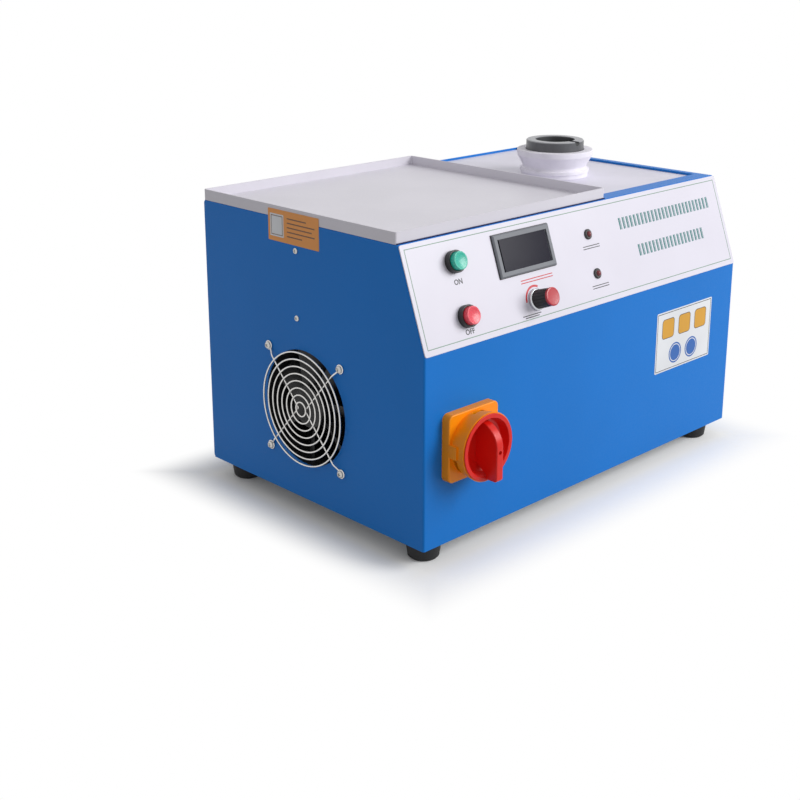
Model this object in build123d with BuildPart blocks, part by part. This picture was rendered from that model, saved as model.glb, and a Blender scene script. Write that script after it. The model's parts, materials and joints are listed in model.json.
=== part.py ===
from build123d import *
import os
from math import cos, hypot, pi, radians, sin

# Tabletop induction furnace for melting gold. All sizes are millimetres.
# +X runs along the case to the right of the person at the controls, the controls face -Y,
# and Z = 0 is the bench under the middle of the case.

os.makedirs("parts", exist_ok=True)

# ------------------------------------------------------------------ driving dimensions

# Case
case_length = 490.0
case_depth = 315.0
overall_height = 310.0  # bench to the rim of the work tray
foot_height = 20.0
tray_depth = 11.0  # upstand of the work tray above the case
slope_rise = 95.5  # height of the control slope, from the top of the case down
slope_run = 34.0  # how far the control slope leans back
wall = 1.2  # steel sheet
fold_radius = 2.0
panel_gap = 0.3  # clearance of a fixed piece in its seat
slide_gap = 0.3  # clearance round a piece that slides or turns in the open
shaft_gap = 0.05  # running clearance of a shaft
shaft_end_gap = 1.0  # between a shaft's end and the bottom of its bore
return_flange = 14.0  # inward flanges that take screws
return_flange_gap = 1.0  # at both ends of such a flange
base_upstand = 15.0
small_edge = 0.6  # bevel of small turned and moulded pieces
overcut = 1.0  # how far a cutter passes the face that it cuts

# Top of the case
top_front_flange = 18.5
top_side_flange = 10.0
deck_recess = 2.5
deck_thickness = 1.5
ledge_width = 10.0
tray_right_margin = 195.0  # from the tray to the right end of the case
tray_front_gap = 2.5  # from the top of the slope to the tray
tray_sheet = 1.2

# Feet
foot_inset = 25.3
foot_top_radius = 17.5
foot_bottom_radius = 15.0
foot_edge = 2.0
foot_bore_radius = 6.0
foot_bore_depth = 11.0

# M4 fasteners
screw_radius = 2.0
screw_hole_radius = 2.2
screw_head_radius = 3.6
screw_head_height = 2.2
nut_radius = 4.0
nut_height = 3.0
thread_end = 1.0  # how far a screw passes its nut

# Cooling fan and its finger guard
fan_y = 5.0
fan_above_base = 95.5
fan_size = 120.0
fan_hole_pitch = 105.0
fan_depth = 38.0
fan_flange = 4.0
fan_corner_radius = 6.0
fan_bore_radius = 58.0
fan_duct_wall = 1.8
fan_hub_radius = 21.0
fan_hub_wall = 3.0
fan_hub_inset = 3.0
fan_hub_gap = 1.0  # between the impeller's hub and the motor
fan_shaft_radius = 1.5
fan_blade_count = 7
fan_blade_chord = 27.0
fan_blade_sag = 3.0
fan_blade_thickness = 1.6
fan_root_pitch = 52.0
fan_tip_pitch = 33.0
fan_tip_gap = 1.2
fan_strut_count = 4
fan_strut_width = 6.0
fan_strut_depth = 4.0
guard_ring_count = 8
guard_radius = 57.0
guard_wire_radius = 0.9
guard_eye_radius = 4.0
guard_standoff = 5.2  # ring plane above the side of the case
guard_apex_gap = 5.0  # from the fan's axis to the bend of each strut wire
guard_wire_lap = 0.36  # how deep the strut wires are welded into the rings
guard_wire_bend = 2.7

# Rotary isolator on the front
isolator_left = 55.0  # from the left end of the case to its axis
isolator_above_base = 94.5
isolator_plate_size = 65.0
isolator_plate_depth = 9.0
isolator_plate_corner = 6.0
isolator_plate_edge = 1.2
isolator_collar_depth = 26.0
isolator_collar_base_radius = 30.5
isolator_collar_rim_radius = 32.5
isolator_collar_wall = 2.5
isolator_slot_width = 15.0
isolator_slot_height = 4.5
isolator_slot_corner = 1.5
isolator_slot_angles = (90.0, 210.0, 330.0)
isolator_latch_width = 12.0
isolator_latch_length = 9.0
isolator_latch_rise = 2.5
handle_floor = 15.0  # bottom of the dished handle above the front
handle_flat_radius = 16.1  # flat floor of the dish
handle_wall = 2.0
handle_gap = 0.6  # radial gap inside the collar
handle_rim_drop = 0.5  # rim of the dish below the collar's rim
grip_thickness = 8.0
grip_depth = 41.0  # face of the grip above the front
grip_corner = 2.0
grip_crown_y = 4.0  # highest point of the grip, above the axis
grip_crown_rise = 2.0
grip_shoulder_y = 13.0
grip_shoulder_drop = 6.0
grip_top_inset = 2.7  # upper end of the grip from the wall of the dish
grip_top_drop = 5.0
handle_eye_radius = 2.5
handle_eye_inset = 6.3  # padlock hole below the face of the grip
isolator_shaft_radius = 5.0
isolator_shaft_depth = 40.0
isolator_body_size = 56.0
isolator_body_depth = 66.0
isolator_body_corner = 4.0
isolator_wafer_count = 4
isolator_waist = 2.0  # width and depth of the grooves between the contact wafers

# Controls on the slope: each place is (from the left end of the case, up the slope)
panel_thickness = 1.0
panel_side_margin = 2.2
panel_foot_margin = 1.0
panel_head_margin = 2.0
panel_corner_radius = 6.0
button_places = {"start": (60.0, 76.0), "stop": (60.0, 26.0)}
button_bezel_radius = 10.4
button_bezel_height = 6.0
button_cap_radius = 8.4
button_cap_height = 10.8
button_cap_edge = 1.2
button_cap_skirt = 4.0  # guided part of the cap below the face of the slope
button_barrel_wall = 0.9
button_barrel_depth = 16.0
button_stem_radius = 3.0
button_stem_depth = 17.0
button_travel = 3.0
button_nut_width = 23.0
button_nut_height = 3.0
contact_block_size = 18.0
contact_block_depth = 20.0
contact_block_corner = 1.5
display_place = (154.6, 70.5)
display_width = 80.0
display_height = 41.0
display_bezel_height = 3.0
display_bezel_edge = 1.6
display_window_width = 66.5
display_window_height = 31.5
display_window_depth = 1.6
display_body_width = 74.0
display_body_height = 36.0
display_body_depth = 24.0
display_screen_thickness = 1.2
knob_place = (156.0, 23.0)
knob_height = 22.0
knob_skirt_radius = 10.5
knob_skirt_height = 3.0
knob_base_radius = 9.5
knob_top_radius = 8.6
knob_cap_radius = 7.8
knob_cap_height = 1.4
knob_flute_count = 18
knob_flute_radius = 0.7
pot_shaft_radius = 3.0
pot_bushing_radius = 4.8
pot_bushing_height = 4.0
pot_body_radius = 12.0
pot_body_depth = 11.0
pot_shell = 1.0
pot_shaft_inset = 4.0  # end of the shaft below the knob's cap
pot_nut_width = 12.0
pot_nut_height = 2.0
lamp_places = ((252.0, 71.0), (252.5, 31.0))
lamp_holder_radius = 4.3
lamp_holder_height = 1.8
lamp_lens_radius = 2.6
lamp_lens_height = 4.2
lamp_lens_round = 2.3
lamp_body_radius = 3.4
lamp_body_depth = 12.0
control_board_left = 340.0  # from the left end of the case to its middle
control_board_width = 150.0
control_board_height = 72.0
control_board_drop = 26.0
board_thickness = 1.6
board_post_radius = 3.0
board_post_inset = 6.0
board_block_height = 22.0
board_block_depth = 12.0
board_block_rise = 6.0
board_blocks = ((-48.0, 18.0), (-24.0, 18.0), (10.0, 26.0), (44.0, 14.0))  # (place, width)
board_corner = 2.0

# Melting well
well_right = 115.0  # from the well's axis to the right end of the case
well_y = 10.0
crucible_rise = 38.0  # rim above the top of the case
crucible_radius = 32.0
crucible_bore_radius = 22.0
crucible_height = 112.0
crucible_floor = 12.0
crucible_edge = 1.0
crucible_notch_radius = 3.5
crucible_notch_drop = 1.0
collar_gap = 0.4
collar_ring_radius = 38.5
collar_ring_rise = 6.5
collar_neck_radius = 35.5
collar_neck_rise = 9.5
collar_flange_radius = 42.0
collar_flange_foot = 21.5
collar_flange_rise = 27.5
collar_edge = 1.0
liner_inner_radius = 33.0
liner_wall = 4.0
well_base_radius = 54.0
well_base_thickness = 18.0
well_base_edge = 2.0
well_bracket_width = 124.0
well_bracket_front = 56.0  # in front of the well's axis
well_bracket_back = 28.0
well_bracket_sheet = 3.0
well_bracket_foot = 15.0
coil_turns = 5  # whole turns; half a turn more brings both leads to the back
coil_tube_radius = 4.0
coil_radius = 46.0
coil_pitch = 10.0
coil_lead = 34.0
coil_clearance = 3.0  # lowest turn above the well base
terminal_width = 18.0
terminal_depth = 20.0
terminal_height = 12.0
busbar_thickness = 4.0
busbar_width = 16.0
sleeve_wall = 3.0  # fibre blanket round the liner
sleeve_gap = 1.0  # below the deck plate

# Power electronics
transformer_y = 34.0
transformer_width = 112.0
transformer_depth = 60.0
transformer_height = 96.0
transformer_limb = 20.0
transformer_winding_gap = 5.0
transformer_winding_corner = 8.0
heatsink_gap = 18.8  # behind the fan, for its air
heatsink_length = 150.0
heatsink_width = 120.0
heatsink_base = 12.0
heatsink_fin_height = 66.0
heatsink_fin_thickness = 3.0
heatsink_fin_count = 12
module_length = 62.0
module_width = 106.0
module_height = 30.0
module_corner = 3.0
module_spacing = 72.0
module_terminal_radius = 5.0
power_board_length = 150.0
power_board_width = 118.0
power_board_rise = 12.0
power_board_capacitor_radius = 11.0
power_board_capacitor_height = 30.0
power_board_capacitors = ((-50.0, -30.0), (-50.0, 0.0), (-22.0, -30.0), (-22.0, 0.0))
power_board_blocks = (  # (size), height, (place)
    ((34.0, 40.0), 26.0, (24.0, -20.0)),
    ((56.0, 12.0), 14.0, (20.0, 34.0)),
)
capacitor_left = 22.0  # from the isolator's switch body
capacitor_front = 10.0  # from the inside of the front
capacitor_radius = 19.0
capacitor_height = 92.0
capacitor_count = 4
capacitor_spacing = 40.0
capacitor_bar_thickness = 3.0
capacitor_bar_corner = 6.0
supply_screw_y = 14.0
supply_screw_drop = 28.0  # upper screw, below the top of the case
supply_screw_rise = 28.1  # lower screw, above the frame of the fan
supply_bracket_width = 70.0
supply_bracket_sheet = 2.0
supply_bracket_margin = 12.0
supply_length = 96.0
supply_height = 54.0
supply_depth = 36.0
supply_corner = 3.0

# Back panel and what passes through it
back_corner_radius = 3.0
back_screw_margin = 7.0
back_screw_end = 34.0
louvre_count = 9
louvre_length = 70.0
louvre_height = 3.0
louvre_pitch = 9.0
louvre_centres = (-110.0, 0.0)
louvre_lowest = 70.0
louvre_hood = 3.0
water_height = 112.0
fitting_thread_radius = 8.0
fitting_hex = 24.0
fitting_hex_height = 7.0
fitting_barb_radius = 5.0
fitting_barb_length = 26.0
fitting_bore_radius = 3.0
fitting_inside_length = 8.0
fitting_inner_barb = 8.0
hose_wall = 2.0
hose_straight = 7.0  # straight end on each barb, before the bend
flow_switch_size = 28.0
flow_switch_length = 30.0
flow_switch_corner = 4.0
gland_left = 49.0  # from the left end of the case
gland_height = 62.0
gland_radius = 11.0
gland_hex = 27.0
gland_hex_height = 7.0
gland_dome_height = 12.0
gland_bore_radius = 5.0
gland_lip = 2.0
gland_inside_length = 10.0
earth_left = 95.0
earth_height = 52.0
earth_stud_radius = 3.0
earth_stud_length = 18.0
earth_nut_width = 10.0
earth_ring_space = 1.0  # between the two nuts, for a ring terminal
terminal_block_left = 95.0  # to its middle
terminal_block_length = 84.0
terminal_block_depth = 30.0
terminal_block_height = 34.0
terminal_block_poles = 6
terminal_block_screw_radius = 3.0
terminal_block_screw_depth = 8.5
terminal_block_rows = 18.0  # between its two rows of screws

# ------------------------------------------------------------------ derived places

case_bottom = foot_height
case_top = overall_height - tray_depth
left_x = -case_length / 2
right_x = case_length / 2
front_y = -case_depth / 2
back_y = case_depth / 2
wrap_back_y = back_y - wall
slope_foot_z = case_top - slope_rise
slope_head_y = front_y + slope_run
slope_length = hypot(slope_run, slope_rise)
base_top = case_bottom + wall
deck_top = case_top - deck_recess
deck_bottom = deck_top - deck_thickness
deck_half_length = right_x - top_side_flange
deck_front_y = slope_head_y + top_front_flange
ledge_bottom = deck_bottom - wall

slope_plane = Plane(
    origin=(left_x, front_y, slope_foot_z), x_dir=(1, 0, 0), z_dir=(0, -slope_rise, slope_run)
)
back_plane = Plane(origin=(0, back_y, 0), x_dir=(-1, 0, 0), z_dir=(0, 1, 0))
fan_plane = Plane(
    origin=(left_x, fan_y, case_bottom + fan_above_base), x_dir=(0, -1, 0), z_dir=(-1, 0, 0)
)
isolator_plane = Plane(
    origin=(left_x + isolator_left, front_y, case_bottom + isolator_above_base),
    x_dir=(1, 0, 0),
    z_dir=(0, -1, 0),
)
well_x = right_x - well_right
well_plane = Plane(origin=(well_x, well_y, 0))
knob_plane = Plane(
    origin=slope_plane.from_local_coords(knob_place), x_dir=(1, 0, 0), z_dir=slope_plane.z_dir
)

fan_corners = [
    (side * fan_hole_pitch / 2, end * fan_hole_pitch / 2) for side in (-1, 1) for end in (-1, 1)
]
button_barrel_radius = button_cap_radius + slide_gap + button_barrel_wall
foot_places = {
    "front_left": (left_x + foot_inset, front_y + foot_inset),
    "front_right": (right_x - foot_inset, front_y + foot_inset),
    "back_left": (left_x + foot_inset, back_y - foot_inset),
    "back_right": (right_x - foot_inset, back_y - foot_inset),
}
back_screw_places = [
    (side * (right_x - wall - back_screw_margin), height)
    for side in (-1, 1)
    for height in (
        case_bottom + back_screw_end,
        (case_bottom + case_top) / 2,
        case_top - back_screw_end,
    )
]
coil_lead_x = (well_x - coil_radius, well_x + coil_radius)


def plane_at(plane, place):
    """Return a plane parallel to the given one, with its origin at a local (x, y) place."""
    return Plane(origin=plane.from_local_coords(place), x_dir=plane.x_dir, z_dir=plane.z_dir)


def turned(plane, outline, mode=Mode.ADD):
    """Turn a closed outline of (radius, height) points about the normal of a plane."""
    side = Plane(
        origin=plane.origin, x_dir=plane.x_dir, z_dir=plane.x_dir.cross(plane.z_dir)
    )
    with BuildSketch(side) as profile:
        with BuildLine():
            Polyline(*outline, close=True)
        make_face()
    revolve(profile.sketch, axis=Axis(plane.origin, plane.z_dir), mode=mode)


def discs(plane, radius, low, high, places=((0, 0),), mode=Mode.ADD):
    """Add or cut round discs between two heights above a plane, at local (x, y) places."""
    with BuildSketch(plane.offset(low)) as face:
        with Locations(*places):
            Circle(radius)
    extrude(face.sketch, amount=high - low, mode=mode)


def slab(plane, size, low, high, place=(0, 0), corner=0.0, mode=Mode.ADD):
    """Add or cut a plate of (width, height) between two heights above a plane."""
    with BuildSketch(plane.offset(low)) as face:
        with Locations(place):
            if corner > 0:
                RectangleRounded(*size, corner)
            else:
                Rectangle(*size)
    extrude(face.sketch, amount=high - low, mode=mode)


def hexagon(plane, across, low, high, places=((0, 0),)):
    """Add hexagonal nuts of the given width across flats at local (x, y) places."""
    with BuildSketch(plane.offset(low)) as face:
        with Locations(*places):
            RegularPolygon(across / 2, 6, major_radius=False)
    extrude(face.sketch, amount=high - low)


def screws(plane, shank, places):
    """Add pan-head screws whose heads stand on the plane and whose shanks go below it."""
    discs(plane, screw_radius, -shank, 0, places)
    discs(plane, screw_head_radius, 0, screw_head_height, places)


# ------------------------------------------------------------------ case

# One folded and welded sheet makes the left side, the front with its control slope and
# the right side, open at the bottom and the back.
with BuildPart() as body_wrap:
    with BuildSketch(Plane.YZ):
        with BuildLine():
            Polyline(
                (front_y, case_bottom),
                (front_y, slope_foot_z),
                (slope_head_y, case_top),
                (wrap_back_y, case_top),
                (wrap_back_y, case_bottom),
                close=True,
            )
        make_face()
    extrude(amount=case_length / 2, both=True)
    folds = body_wrap.edges().filter_by(
        lambda edge: edge.center().Z > case_bottom + wall and edge.center().Y < wrap_back_y - wall
    )
    fillet(folds, radius=fold_radius)
    open_sides = [
        body_wrap.faces().sort_by(Axis.Z)[0],
        body_wrap.faces().sort_by(Axis.Y)[-1],
    ]
    offset(amount=-wall, openings=open_sides)
    # Opening for the deck plate, with a ledge folded down under its edge on three sides
    opening_depth = wrap_back_y - deck_front_y
    opening_middle = (wrap_back_y + deck_front_y) / 2
    top_plane = Plane.XY.offset(case_top)
    slab(
        top_plane,
        (2 * deck_half_length, opening_depth),
        -2 * wall,
        wall,
        (0, opening_middle),
        mode=Mode.SUBTRACT,
    )
    ledge_back_y = wrap_back_y - ledge_width - panel_gap
    ledge_depth = ledge_back_y - deck_front_y
    for inset, low, high in (
        (0, ledge_bottom, case_top - wall),
        (ledge_width, ledge_bottom, deck_bottom),
    ):
        with BuildSketch(Plane.XY.offset(low)):
            with Locations((0, deck_front_y + ledge_depth / 2 - wall / 2)):
                Rectangle(2 * (deck_half_length + wall), ledge_depth + wall)
            with Locations((0, deck_front_y + ledge_depth / 2 + inset)):
                Rectangle(
                    2 * (deck_half_length - inset), ledge_depth + inset, mode=Mode.SUBTRACT
                )
        extrude(amount=high - low)
    # Return flanges for the back panel's screws
    flange_bottom = case_bottom + base_upstand + return_flange_gap
    flange_top = ledge_bottom - return_flange_gap
    for side in (-1, 1):
        with BuildSketch(Plane.XZ.offset(-wrap_back_y)):
            with Locations(
                (
                    side * (right_x - wall - return_flange / 2),
                    (flange_bottom + flange_top) / 2,
                )
            ):
                Rectangle(return_flange, flange_top - flange_bottom)
        extrude(amount=wall)
    discs(
        back_plane, screw_hole_radius, -4 * wall, 0, back_screw_places, mode=Mode.SUBTRACT
    )
    # Fan opening and screw holes in the left side
    discs(fan_plane, fan_bore_radius + panel_gap, -2 * wall, wall, mode=Mode.SUBTRACT)
    discs(fan_plane, screw_hole_radius, -2 * wall, wall, fan_corners, mode=Mode.SUBTRACT)
    supply_plane = Plane(
        origin=(left_x, supply_screw_y, case_top), x_dir=(0, -1, 0), z_dir=(-1, 0, 0)
    )
    supply_low = case_bottom + fan_above_base + fan_size / 2 + supply_screw_rise - case_top
    supply_places = [(0, supply_low), (0, -supply_screw_drop)]
    discs(supply_plane, screw_hole_radius, -2 * wall, wall, supply_places, mode=Mode.SUBTRACT)
    # Holes for the controls
    discs(
        isolator_plane,
        isolator_shaft_radius + slide_gap,
        -2 * wall,
        wall,
        mode=Mode.SUBTRACT,
    )
    button_holes = list(button_places.values())
    control_holes = (
        (button_holes, button_barrel_radius + panel_gap),
        ([knob_place], pot_bushing_radius + panel_gap),
        (lamp_places, lamp_body_radius + panel_gap),
    )
    for places, radius in control_holes:
        discs(slope_plane, radius, -2 * wall, wall, places, mode=Mode.SUBTRACT)
    display_cutout = (display_body_width + 2 * panel_gap, display_body_height + 2 * panel_gap)
    slab(slope_plane, display_cutout, -2 * wall, wall, display_place, mode=Mode.SUBTRACT)

# Bottom pan, spot-welded inside the wrap along its upstands
with BuildPart() as base_pan:
    pan_length = case_length - 2 * wall
    pan_depth = case_depth - 2 * wall
    with BuildSketch(Plane.XY.offset(case_bottom)):
        RectangleRounded(pan_length, pan_depth, fold_radius)
    extrude(amount=base_upstand)
    with BuildSketch(Plane.XY.offset(base_top)):
        RectangleRounded(pan_length - 2 * wall, pan_depth - 2 * wall, fold_radius)
    extrude(amount=base_upstand, mode=Mode.SUBTRACT)
    discs(
        Plane.XY,
        screw_hole_radius,
        case_bottom,
        base_top,
        list(foot_places.values()),
        mode=Mode.SUBTRACT,
    )

water_in_plane = plane_at(back_plane, (-coil_lead_x[1], water_height))
water_out_plane = plane_at(back_plane, (-coil_lead_x[0], water_height))
gland_place = (-left_x - gland_left, gland_height)
earth_place = (-left_x - earth_left, earth_height)
gland_plane = plane_at(back_plane, gland_place)
earth_plane = plane_at(back_plane, earth_place)

# Flat back panel with two banks of louvres and a ledge that carries the deck's back edge
with BuildPart() as back_panel:
    with BuildSketch(back_plane):
        with Locations((0, (case_bottom + case_top) / 2)):
            RectangleRounded(case_length, case_top - case_bottom, back_corner_radius)
    extrude(amount=-wall)
    ledge_middle = wrap_back_y - ledge_width / 2
    slab(
        Plane.XY,
        (2 * deck_half_length, ledge_width),
        ledge_bottom,
        deck_bottom,
        (0, ledge_middle),
    )
    louvre_places = [
        (-centre, case_bottom + louvre_lowest + row * louvre_pitch)
        for centre in louvre_centres
        for row in range(louvre_count)
    ]
    for place in louvre_places:
        louvre_plane = plane_at(back_plane, place)
        # a pressed hood over each slot, open downwards
        with BuildSketch(
            Plane(
                origin=louvre_plane.origin,
                x_dir=louvre_plane.z_dir,
                z_dir=louvre_plane.z_dir.cross(louvre_plane.y_dir),
            )
        ) as hood:
            with BuildLine():
                Polyline(
                    (0, louvre_height + wall),
                    (louvre_hood, 0),
                    (louvre_hood - wall, 0),
                    (0, louvre_height - wall),
                    close=True,
                )
            make_face()
        extrude(hood.sketch, amount=louvre_length / 2 + wall, both=True)
        slab(
            louvre_plane,
            (louvre_length, louvre_height),
            -2 * wall,
            0,
            (0, louvre_height / 2 - wall),
            mode=Mode.SUBTRACT,
        )
    back_holes = (
        (fitting_thread_radius + panel_gap, [(-x, water_height) for x in coil_lead_x]),
        (gland_radius + panel_gap, [gland_place]),
        (earth_stud_radius + panel_gap, [earth_place]),
        (screw_hole_radius, back_screw_places),
    )
    for radius, places in back_holes:
        discs(back_plane, radius, -2 * wall, wall, places, mode=Mode.SUBTRACT)

# White plate round the melting well, recessed between the flanges of the case
with BuildPart() as deck_plate:
    deck_back_y = wrap_back_y - panel_gap
    deck_size = (
        2 * (deck_half_length - panel_gap),
        deck_back_y - deck_front_y - panel_gap,
    )
    slab(
        Plane.XY,
        deck_size,
        deck_bottom,
        deck_top,
        (0, (deck_back_y + deck_front_y + panel_gap) / 2),
    )
    discs(
        well_plane,
        crucible_radius + 2 * collar_gap,
        deck_bottom - overcut,
        deck_top + overcut,
        mode=Mode.SUBTRACT,
    )

# Shallow tray with an upstand all round, on the left part of the top
with BuildPart() as work_tray:
    tray_left_x = left_x + panel_gap
    tray_right_x = right_x - tray_right_margin
    tray_front_y = slope_head_y + tray_front_gap
    tray_size = (tray_right_x - tray_left_x, back_y - tray_front_y)
    tray_middle = ((tray_right_x + tray_left_x) / 2, (back_y + tray_front_y) / 2)
    slab(Plane.XY, tray_size, case_top, overall_height, tray_middle, fold_radius)
    tray_inside = (tray_size[0] - 2 * tray_sheet, tray_size[1] - 2 * tray_sheet)
    slab(
        Plane.XY,
        tray_inside,
        case_top + tray_sheet,
        overall_height,
        tray_middle,
        fold_radius - tray_sheet / 2,
        mode=Mode.SUBTRACT,
    )

# Printed cover plate of the control slope
with BuildPart() as control_panel:
    panel_size = (
        case_length - 2 * panel_side_margin,
        slope_length - panel_foot_margin - panel_head_margin,
    )
    panel_middle = (case_length / 2, panel_foot_margin + panel_size[1] / 2)
    slab(slope_plane, panel_size, 0, panel_thickness, panel_middle, panel_corner_radius)
    for places, radius in control_holes:
        discs(slope_plane, radius, 0, panel_thickness, places, mode=Mode.SUBTRACT)
    slab(slope_plane, display_cutout, 0, panel_thickness, display_place, mode=Mode.SUBTRACT)

# Rubber feet, each with a deep bore for the head of its screw
feet = {}
for corner, place in foot_places.items():
    with BuildPart() as foot:
        foot_plane = Plane(origin=(*place, 0))
        turned(
            foot_plane,
            [
                (foot_bore_radius, 0),
                (foot_bottom_radius - foot_edge, 0),
                (foot_bottom_radius, foot_edge),
                (foot_top_radius, foot_height),
                (screw_hole_radius, foot_height),
                (screw_hole_radius, foot_bore_depth),
                (foot_bore_radius, foot_bore_depth),
            ],
        )
    feet[corner] = foot.part

foot_nut_plane = Plane.XY.offset(base_top)
with BuildPart() as foot_screws:
    corners = list(foot_places.values())
    foot_screw_top = base_top + nut_height + thread_end
    discs(Plane.XY, screw_radius, foot_bore_depth, foot_screw_top, corners)
    discs(Plane.XY, screw_head_radius, foot_bore_depth - screw_head_height, foot_bore_depth, corners)
    hexagon(foot_nut_plane, 2 * nut_radius, 0, nut_height, corners)

with BuildPart() as back_screws:
    screws(back_plane, 4 * wall, back_screw_places)

# ------------------------------------------------------------------ cooling fan

fan_front = -wall  # where the fan's frame meets the inside of the case
fan_back = fan_front - fan_depth

with BuildPart() as fan_frame:
    for low in (fan_front - fan_flange, fan_back):
        slab(fan_plane, (fan_size, fan_size), low, low + fan_flange, corner=fan_corner_radius)
    discs(fan_plane, fan_bore_radius + fan_duct_wall, fan_back, fan_front)
    discs(fan_plane, fan_bore_radius, fan_back, fan_front, mode=Mode.SUBTRACT)
    for low in (fan_front - fan_flange, fan_back):
        discs(
            fan_plane,
            screw_hole_radius,
            low,
            low + fan_flange,
            fan_corners,
            mode=Mode.SUBTRACT,
        )
    # Motor plate on its arms, with the motor standing inside the impeller's hub
    stator_radius = fan_hub_radius - fan_hub_wall - fan_hub_gap
    stator_top = fan_front - fan_hub_inset - fan_hub_wall - fan_hub_gap
    discs(fan_plane, fan_hub_radius, fan_back, fan_back + fan_strut_depth)
    discs(fan_plane, stator_radius, fan_back, stator_top)
    with BuildSketch(fan_plane.offset(fan_back)):
        with PolarLocations(0, fan_strut_count, start_angle=45):
            with Locations((fan_bore_radius / 2, 0)):
                Rectangle(fan_bore_radius + fan_duct_wall / 2, fan_strut_width)
    extrude(amount=fan_strut_depth)
    discs(
        fan_plane,
        fan_shaft_radius + shaft_gap,
        fan_back + fan_strut_depth,
        stator_top,
        mode=Mode.SUBTRACT,
    )

with BuildPart() as fan_impeller:
    hub_top = fan_front - fan_hub_inset
    hub_bottom = fan_back + fan_strut_depth + fan_hub_gap
    turned(
        fan_plane,
        [
            (0, hub_top),
            (fan_hub_radius, hub_top),
            (fan_hub_radius, hub_bottom),
            (fan_hub_radius - fan_hub_wall, hub_bottom),
            (fan_hub_radius - fan_hub_wall, hub_top - fan_hub_wall),
            (fan_shaft_radius, hub_top - fan_hub_wall),
            (fan_shaft_radius, hub_bottom),
            (0, hub_bottom),
        ],
    )
    # Each blade is lofted from a steep section in the hub to a flat one at the tip
    blade_middle = (hub_top + hub_bottom) / 2
    tip_reach = fan_blade_chord / 2 * cos(radians(fan_tip_pitch))
    blade_tip = ((fan_bore_radius - fan_tip_gap) ** 2 - tip_reach**2) ** 0.5
    for blade in range(fan_blade_count):
        angle = 2 * pi * blade / fan_blade_count
        outward = fan_plane.x_dir * cos(angle) + fan_plane.y_dir * sin(angle)
        around = fan_plane.y_dir * cos(angle) - fan_plane.x_dir * sin(angle)
        sections = []
        for radius, pitch in (
            (fan_hub_radius - fan_hub_wall / 2, fan_root_pitch),
            (blade_tip, fan_tip_pitch),
        ):
            chord_dir = around * cos(radians(pitch)) + fan_plane.z_dir * sin(radians(pitch))
            middle = fan_plane.origin + fan_plane.z_dir * blade_middle + outward * radius
            half = fan_blade_chord / 2
            with BuildSketch(Plane(origin=middle, x_dir=chord_dir, z_dir=outward)) as section:
                with BuildLine():
                    ThreePointArc((-half, 0), (0, fan_blade_sag), (half, 0))
                    ThreePointArc((half, 0), (0, fan_blade_sag - fan_blade_thickness), (-half, 0))
                make_face()
            sections.append(section.sketch)
        loft(sections)

# Concentric rings on two bent strut wires, whose ends are eyes under the fan's screws
with BuildPart() as fan_guard:
    with BuildSketch(
        Plane(origin=fan_plane.origin, x_dir=fan_plane.x_dir, z_dir=fan_plane.y_dir)
    ) as ring_sections:
        ring_radii = [
            guard_radius * (ring + 1) / guard_ring_count for ring in range(guard_ring_count)
        ]
        with Locations(*[(radius, -guard_standoff) for radius in ring_radii]):
            Circle(guard_wire_radius)
    revolve(ring_sections.sketch, axis=Axis(fan_plane.origin, fan_plane.z_dir))
    strut_height = guard_standoff - 2 * guard_wire_radius + guard_wire_lap
    corner_reach = fan_hole_pitch / 2 - guard_eye_radius * sin(pi / 4)
    ramp_reach = corner_reach - guard_standoff
    for side in (-1, 1):
        strut_points = [
            (side * corner_reach, corner_reach, guard_wire_radius),
            (side * ramp_reach, ramp_reach, strut_height),
            (side * guard_apex_gap, 0, strut_height),
            (side * ramp_reach, -ramp_reach, strut_height),
            (side * corner_reach, -corner_reach, guard_wire_radius),
        ]
        with BuildLine(fan_plane) as strut:
            FilletPolyline(*strut_points, radius=guard_wire_bend)
        wire_start = Plane(origin=strut.line @ 0, z_dir=strut.line % 0)
        with BuildSketch(wire_start) as wire_section:
            Circle(guard_wire_radius)
        sweep(wire_section.sketch, path=strut.line)
    for place in fan_corners:
        eye_plane = plane_at(fan_plane, place)
        eye_side = Plane(origin=eye_plane.origin, x_dir=eye_plane.x_dir, z_dir=eye_plane.y_dir)
        with BuildSketch(eye_side) as eye:
            with Locations((guard_eye_radius, -guard_wire_radius)):
                Circle(guard_wire_radius)
        revolve(eye.sketch, axis=Axis(eye_plane.origin, eye_plane.z_dir))

fan_screw_plane = fan_plane.offset(2 * guard_wire_radius)
with BuildPart() as fan_screws:
    fan_screw_shank = 2 * guard_wire_radius + wall + fan_flange + nut_height + thread_end
    screws(fan_screw_plane, fan_screw_shank, fan_corners)
    fan_nut_top = fan_front - fan_flange
    hexagon(fan_plane, 2 * nut_radius, fan_nut_top - nut_height, fan_nut_top, fan_corners)

# ------------------------------------------------------------------ rotary isolator

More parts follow.
